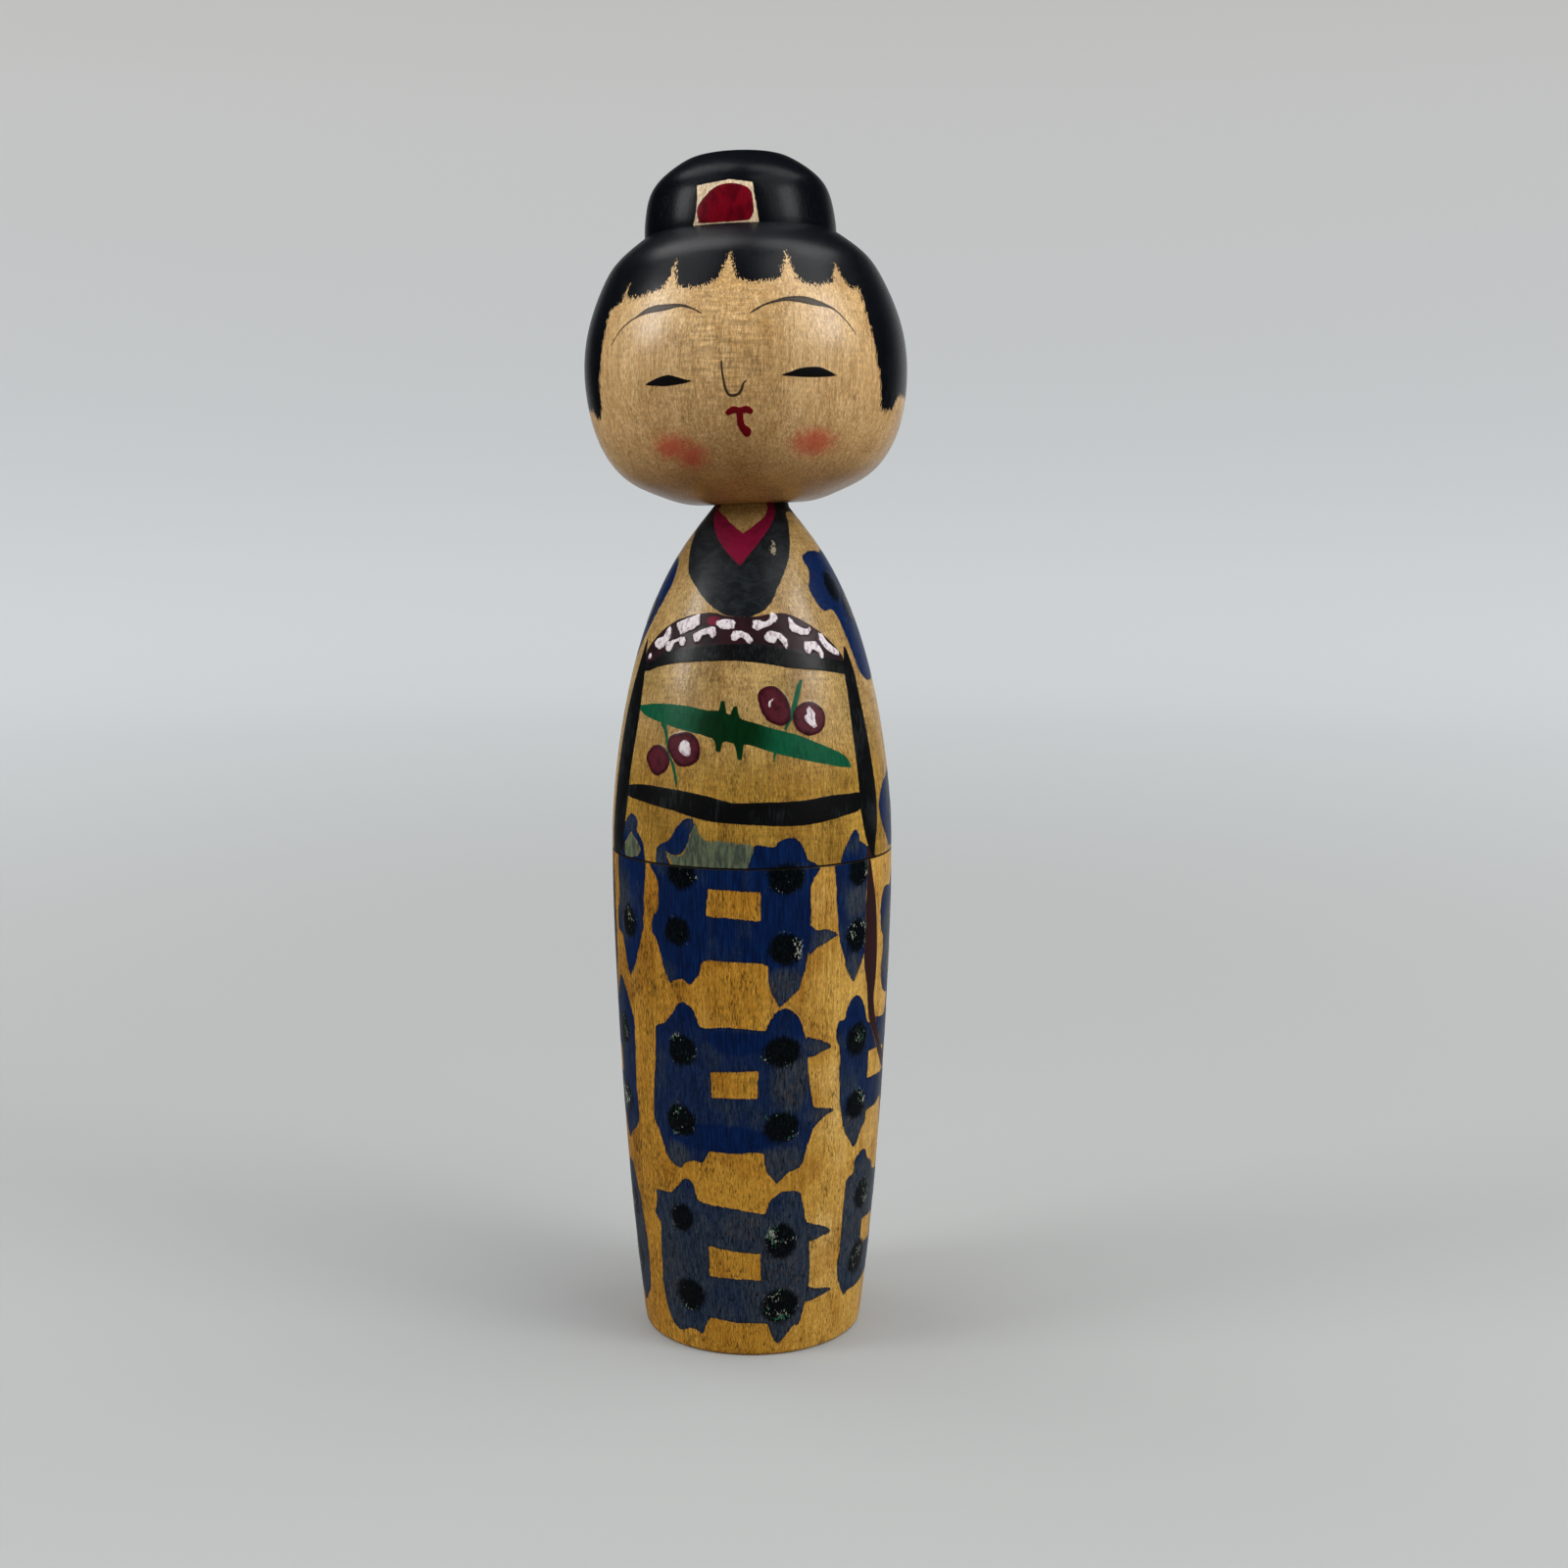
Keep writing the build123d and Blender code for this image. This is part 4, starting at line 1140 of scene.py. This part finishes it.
def in_the_torso(radius, angle, height):
    """Upright, but the neck's bore follows the head's lean, and its rim the underside of the chin."""
    x, y, _ = upright(radius, angle, height)
    if height > NECK - 0.01:
        rim_height = HEAD_ORIGIN[2] + x * sin(LEAN) / cos(LEAN) - RIM_GAP
        if radius <= BORE_LIMIT:
            x, y = BORE * sin(angle), -BORE * cos(angle)
        return x, y, rim_height
    if radius < BORE_LIMIT and height > BORE_FLOOR:
        lean = -sin(LEAN) / cos(LEAN) * (height - HEAD_ORIGIN[2])
        return BORE * sin(angle) + lean, -BORE * cos(angle), height
    return x, y, height


def rows(inside, outside, is_outside):
    return lambda radius, height: outside if is_outside(radius, height) else inside


def skirt_outside(radius, height):
    return radius > 16.6 and height < WAIST - 0.02


def torso_outside(radius, height):
    return radius > 5 and height > WAIST + 0.02 and (height > 104.5 or radius > 17.2)


def head_outside(radius, height):
    return radius > 7 and height > 0.2


def topknot_outside(radius, height):
    return radius > 2.8 or height > 50


def head_rows(radius, height):
    """Close rows where the face is."""
    if not head_outside(radius, height):
        return 2.0
    return 0.19 if 5 < height < 37 else 0.6


lower_body = turned(
    "lower_body_turned",
    [smooth_stations(half_section("lower_body", UPRIGHT), rows(3.0, 0.35, skirt_outside))],
    ring_angles(82, 0.6, 2.4), upright, skirt_outside, skirt_layers, {"blue": 0.02, "blot": 0.06},
)
upper_body = turned(
    "upper_body_turned",
    [smooth_stations(half_section("upper_body", UPRIGHT), rows(3.0, 0.25, torso_outside))],
    ring_angles(72, 0.55, 2.0), in_the_torso, torso_outside, torso_layers,
    {"white": 0.10, "berry": 0.06, "blot": 0.05, "black": 0.03},
)
head = turned(
    "head_turned",
    [
        smooth_stations(half_section("head", LEANING), head_rows),
        smooth_stations(half_section("topknot_peg", LEANING), rows(2.0, 2.0, head_outside)),
    ],
    ring_angles(62, 0.42, 2.5), on_the_head, head_outside, head_layers, {"ink": 0.03, "mouth": 0.08},
)
topknot = turned(
    "topknot_turned",
    [smooth_stations(half_section("topknot", LEANING), rows(1.5, 0.2, topknot_outside))],
    ring_angles(40, 0.5, 1.5), on_the_head, topknot_outside, topknot_layers, {"red": 0.04},
)
for piece, nodes, body, slot, material in (
    (lower_body, ["lower_body"], "lower_body", "stained_wood", skirt_material()),
    (upper_body, ["upper_body"], "upper_body", "painted_wood", torso_material()),
    (head, ["head", "topknot_peg"], "head", "head_wood", head_material()),
    (topknot, ["topknot"], "head", "black_hair", topknot_material()),
):
    piece.data.materials.append(material)
    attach(piece, body)
    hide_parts(*nodes)


# ---------------------------------------------------------------- stage, light and camera

BOWL_SIDES, BOWL_STEPS = 96, 24


def bowl(name, flat, bend, rise):
    """A floor whose edge curves up, so that there is no horizon from any side."""
    arc = [k / BOWL_STEPS * pi / 2 for k in range(BOWL_STEPS + 1)]
    rings = [(flat + bend * sin(t), bend * (1 - cos(t))) for t in arc] + [(flat + bend, rise)]
    turns = np.linspace(0, 2 * pi, BOWL_SIDES, endpoint=False)
    corners = [(r * cos(a), r * sin(a), z) for r, z in rings for a in turns]
    faces = [tuple(range(BOWL_SIDES))]
    for k in range(len(rings) - 1):
        low, high = k * BOWL_SIDES, (k + 1) * BOWL_SIDES
        for i in range(BOWL_SIDES):
            j = (i + 1) % BOWL_SIDES
            faces.append((low + i, high + i, high + j, low + j))
    mesh = bpy.data.meshes.new(name)
    mesh.from_pydata(corners, [], faces)
    mesh.shade_smooth()
    made = bpy.data.objects.new(name, mesh)
    bpy.context.scene.collection.objects.link(made)
    return made


floor = bowl("floor_stage", 0.9, 0.8, 1.1)
paper = Graph("paper_stage")
away = paper.vector("LENGTH", paper.place).node.outputs["Value"]
# painted shade and painted light: the paper is darker near the doll, where the softboxes light it most, and
# paler out on the curve and up the wall, where they light it less
pale = paper.mix((0.34, 0.345, 0.34), (0.68, 0.70, 0.71), paper.step(away, 150.0, 1300.0))
pale = paper.mix(pale, (0.86, 0.88, 0.88), paper.step(paper.height, 150.0, 700.0))
paper.set(paper.shader.inputs["Base Color"], pale)
paper.shader.inputs["Roughness"].default_value = 0.85
paper.shader.inputs["Specular IOR Level"].default_value = 0.1
floor.data.materials.append(paper.material)
floor.visible_glossy = False
floor.visible_diffuse = False


LIGHT_AIM = Vector((0, 0, 0.12))


def soft_light(name, azimuth, elevation, distance, width, height, watts):
    """A softbox seen from the doll at this azimuth (from the front, towards +X) and elevation."""
    a, e = radians(azimuth), radians(elevation)
    outward = Vector((sin(a) * cos(e), -cos(a) * cos(e), sin(e)))
    light = bpy.data.lights.new(name, "AREA")
    light.shape = "RECTANGLE"
    light.size, light.size_y = width, height
    light.energy = watts
    lamp = bpy.data.objects.new(name, light)
    lamp.location = LIGHT_AIM + outward * distance
    lamp.rotation_euler = outward.to_track_quat("Z", "Y").to_euler()
    lamp.visible_camera = False
    bpy.context.scene.collection.objects.link(lamp)


# Each light's name, azimuth, elevation, distance, width, height and watts.
LIGHTS = [
    ("left_box", -60, 42, 1.15, 0.85, 1.2, 3.4),
    ("right_box", 66, 42, 1.15, 0.85, 1.2, 6.8),
    ("left_window", -66, 28, 1.1, 0.34, 0.46, 4.5),
    ("right_window", 72, 29, 1.1, 0.34, 0.46, 3.7),
    ("top_left", -115, 66, 1.15, 0.43, 0.77, 2.7),
    ("top_right", 115, 66, 1.15, 0.43, 0.77, 2.7),
]
for light in LIGHTS:
    soft_light(*light)

# The room: even for diffuse light; in reflections dark above and in front, bright behind and below.
world = bpy.data.worlds.new("studio")
bpy.context.scene.world = world
world.use_nodes = True
sky = Nodes(world.node_tree)
glossy = sky.add("ShaderNodeLightPath").outputs["Is Glossy Ray"]
parts = sky.add("ShaderNodeSeparateXYZ")
sky.set(parts.inputs[0], sky.add("ShaderNodeTexCoord").outputs["Generated"])
front_back, up_down = parts.outputs[1], parts.outputs[2]
behind = sky.math("MULTIPLY", sky.step(front_back, 0.72, 0.97), sky.step(up_down, 0.5, 0.1))
below = sky.step(up_down, 0.0, -0.5)
seen = sky.math("MAXIMUM", sky.math("MULTIPLY", behind, 0.5), sky.math("MULTIPLY", below, 0.12))
seen = sky.math("ADD", seen, 0.008)
fill = sky.step(up_down, -0.45, 0.45, start=0.26, end=0.72)
fill = sky.math("MULTIPLY", fill, sky.step(front_back, -0.9, 0.1, start=0.6, end=1.0))
strength = sky.blend(fill, seen, glossy)
shade = sky.add("ShaderNodeBackground")
warm = sky.step(up_down, 0.1, -0.4)
warm = sky.math("MULTIPLY", warm, sky.math("SUBTRACT", 1.0, glossy))
sky.set(shade.inputs["Color"], sky.mix((0.96, 0.985, 1.0), (1.0, 0.66, 0.34), warm))
sky.set(shade.inputs["Strength"], strength)
sky.tree.links.new(shade.outputs[0], sky.add("ShaderNodeOutputWorld").inputs[0])

VIEW_TURN, VIEW_TILT = radians(7), radians(7.78)  # the camera looks to its left, and down

lens = bpy.data.cameras.new("camera")
lens.sensor_width = 36
lens.lens = 43.875
lens.clip_start = 0.01
camera = bpy.data.objects.new("camera", lens)
camera.location = (0.04069, -0.29061, 0.1256)
aim = Vector((-sin(VIEW_TURN) * cos(VIEW_TILT), cos(VIEW_TURN) * cos(VIEW_TILT), -sin(VIEW_TILT)))
camera.rotation_euler = aim.to_track_quat("-Z", "Y").to_euler()
bpy.context.scene.collection.objects.link(camera)
bpy.context.scene.camera = camera
bpy.context.scene.view_settings.view_transform = "Standard"
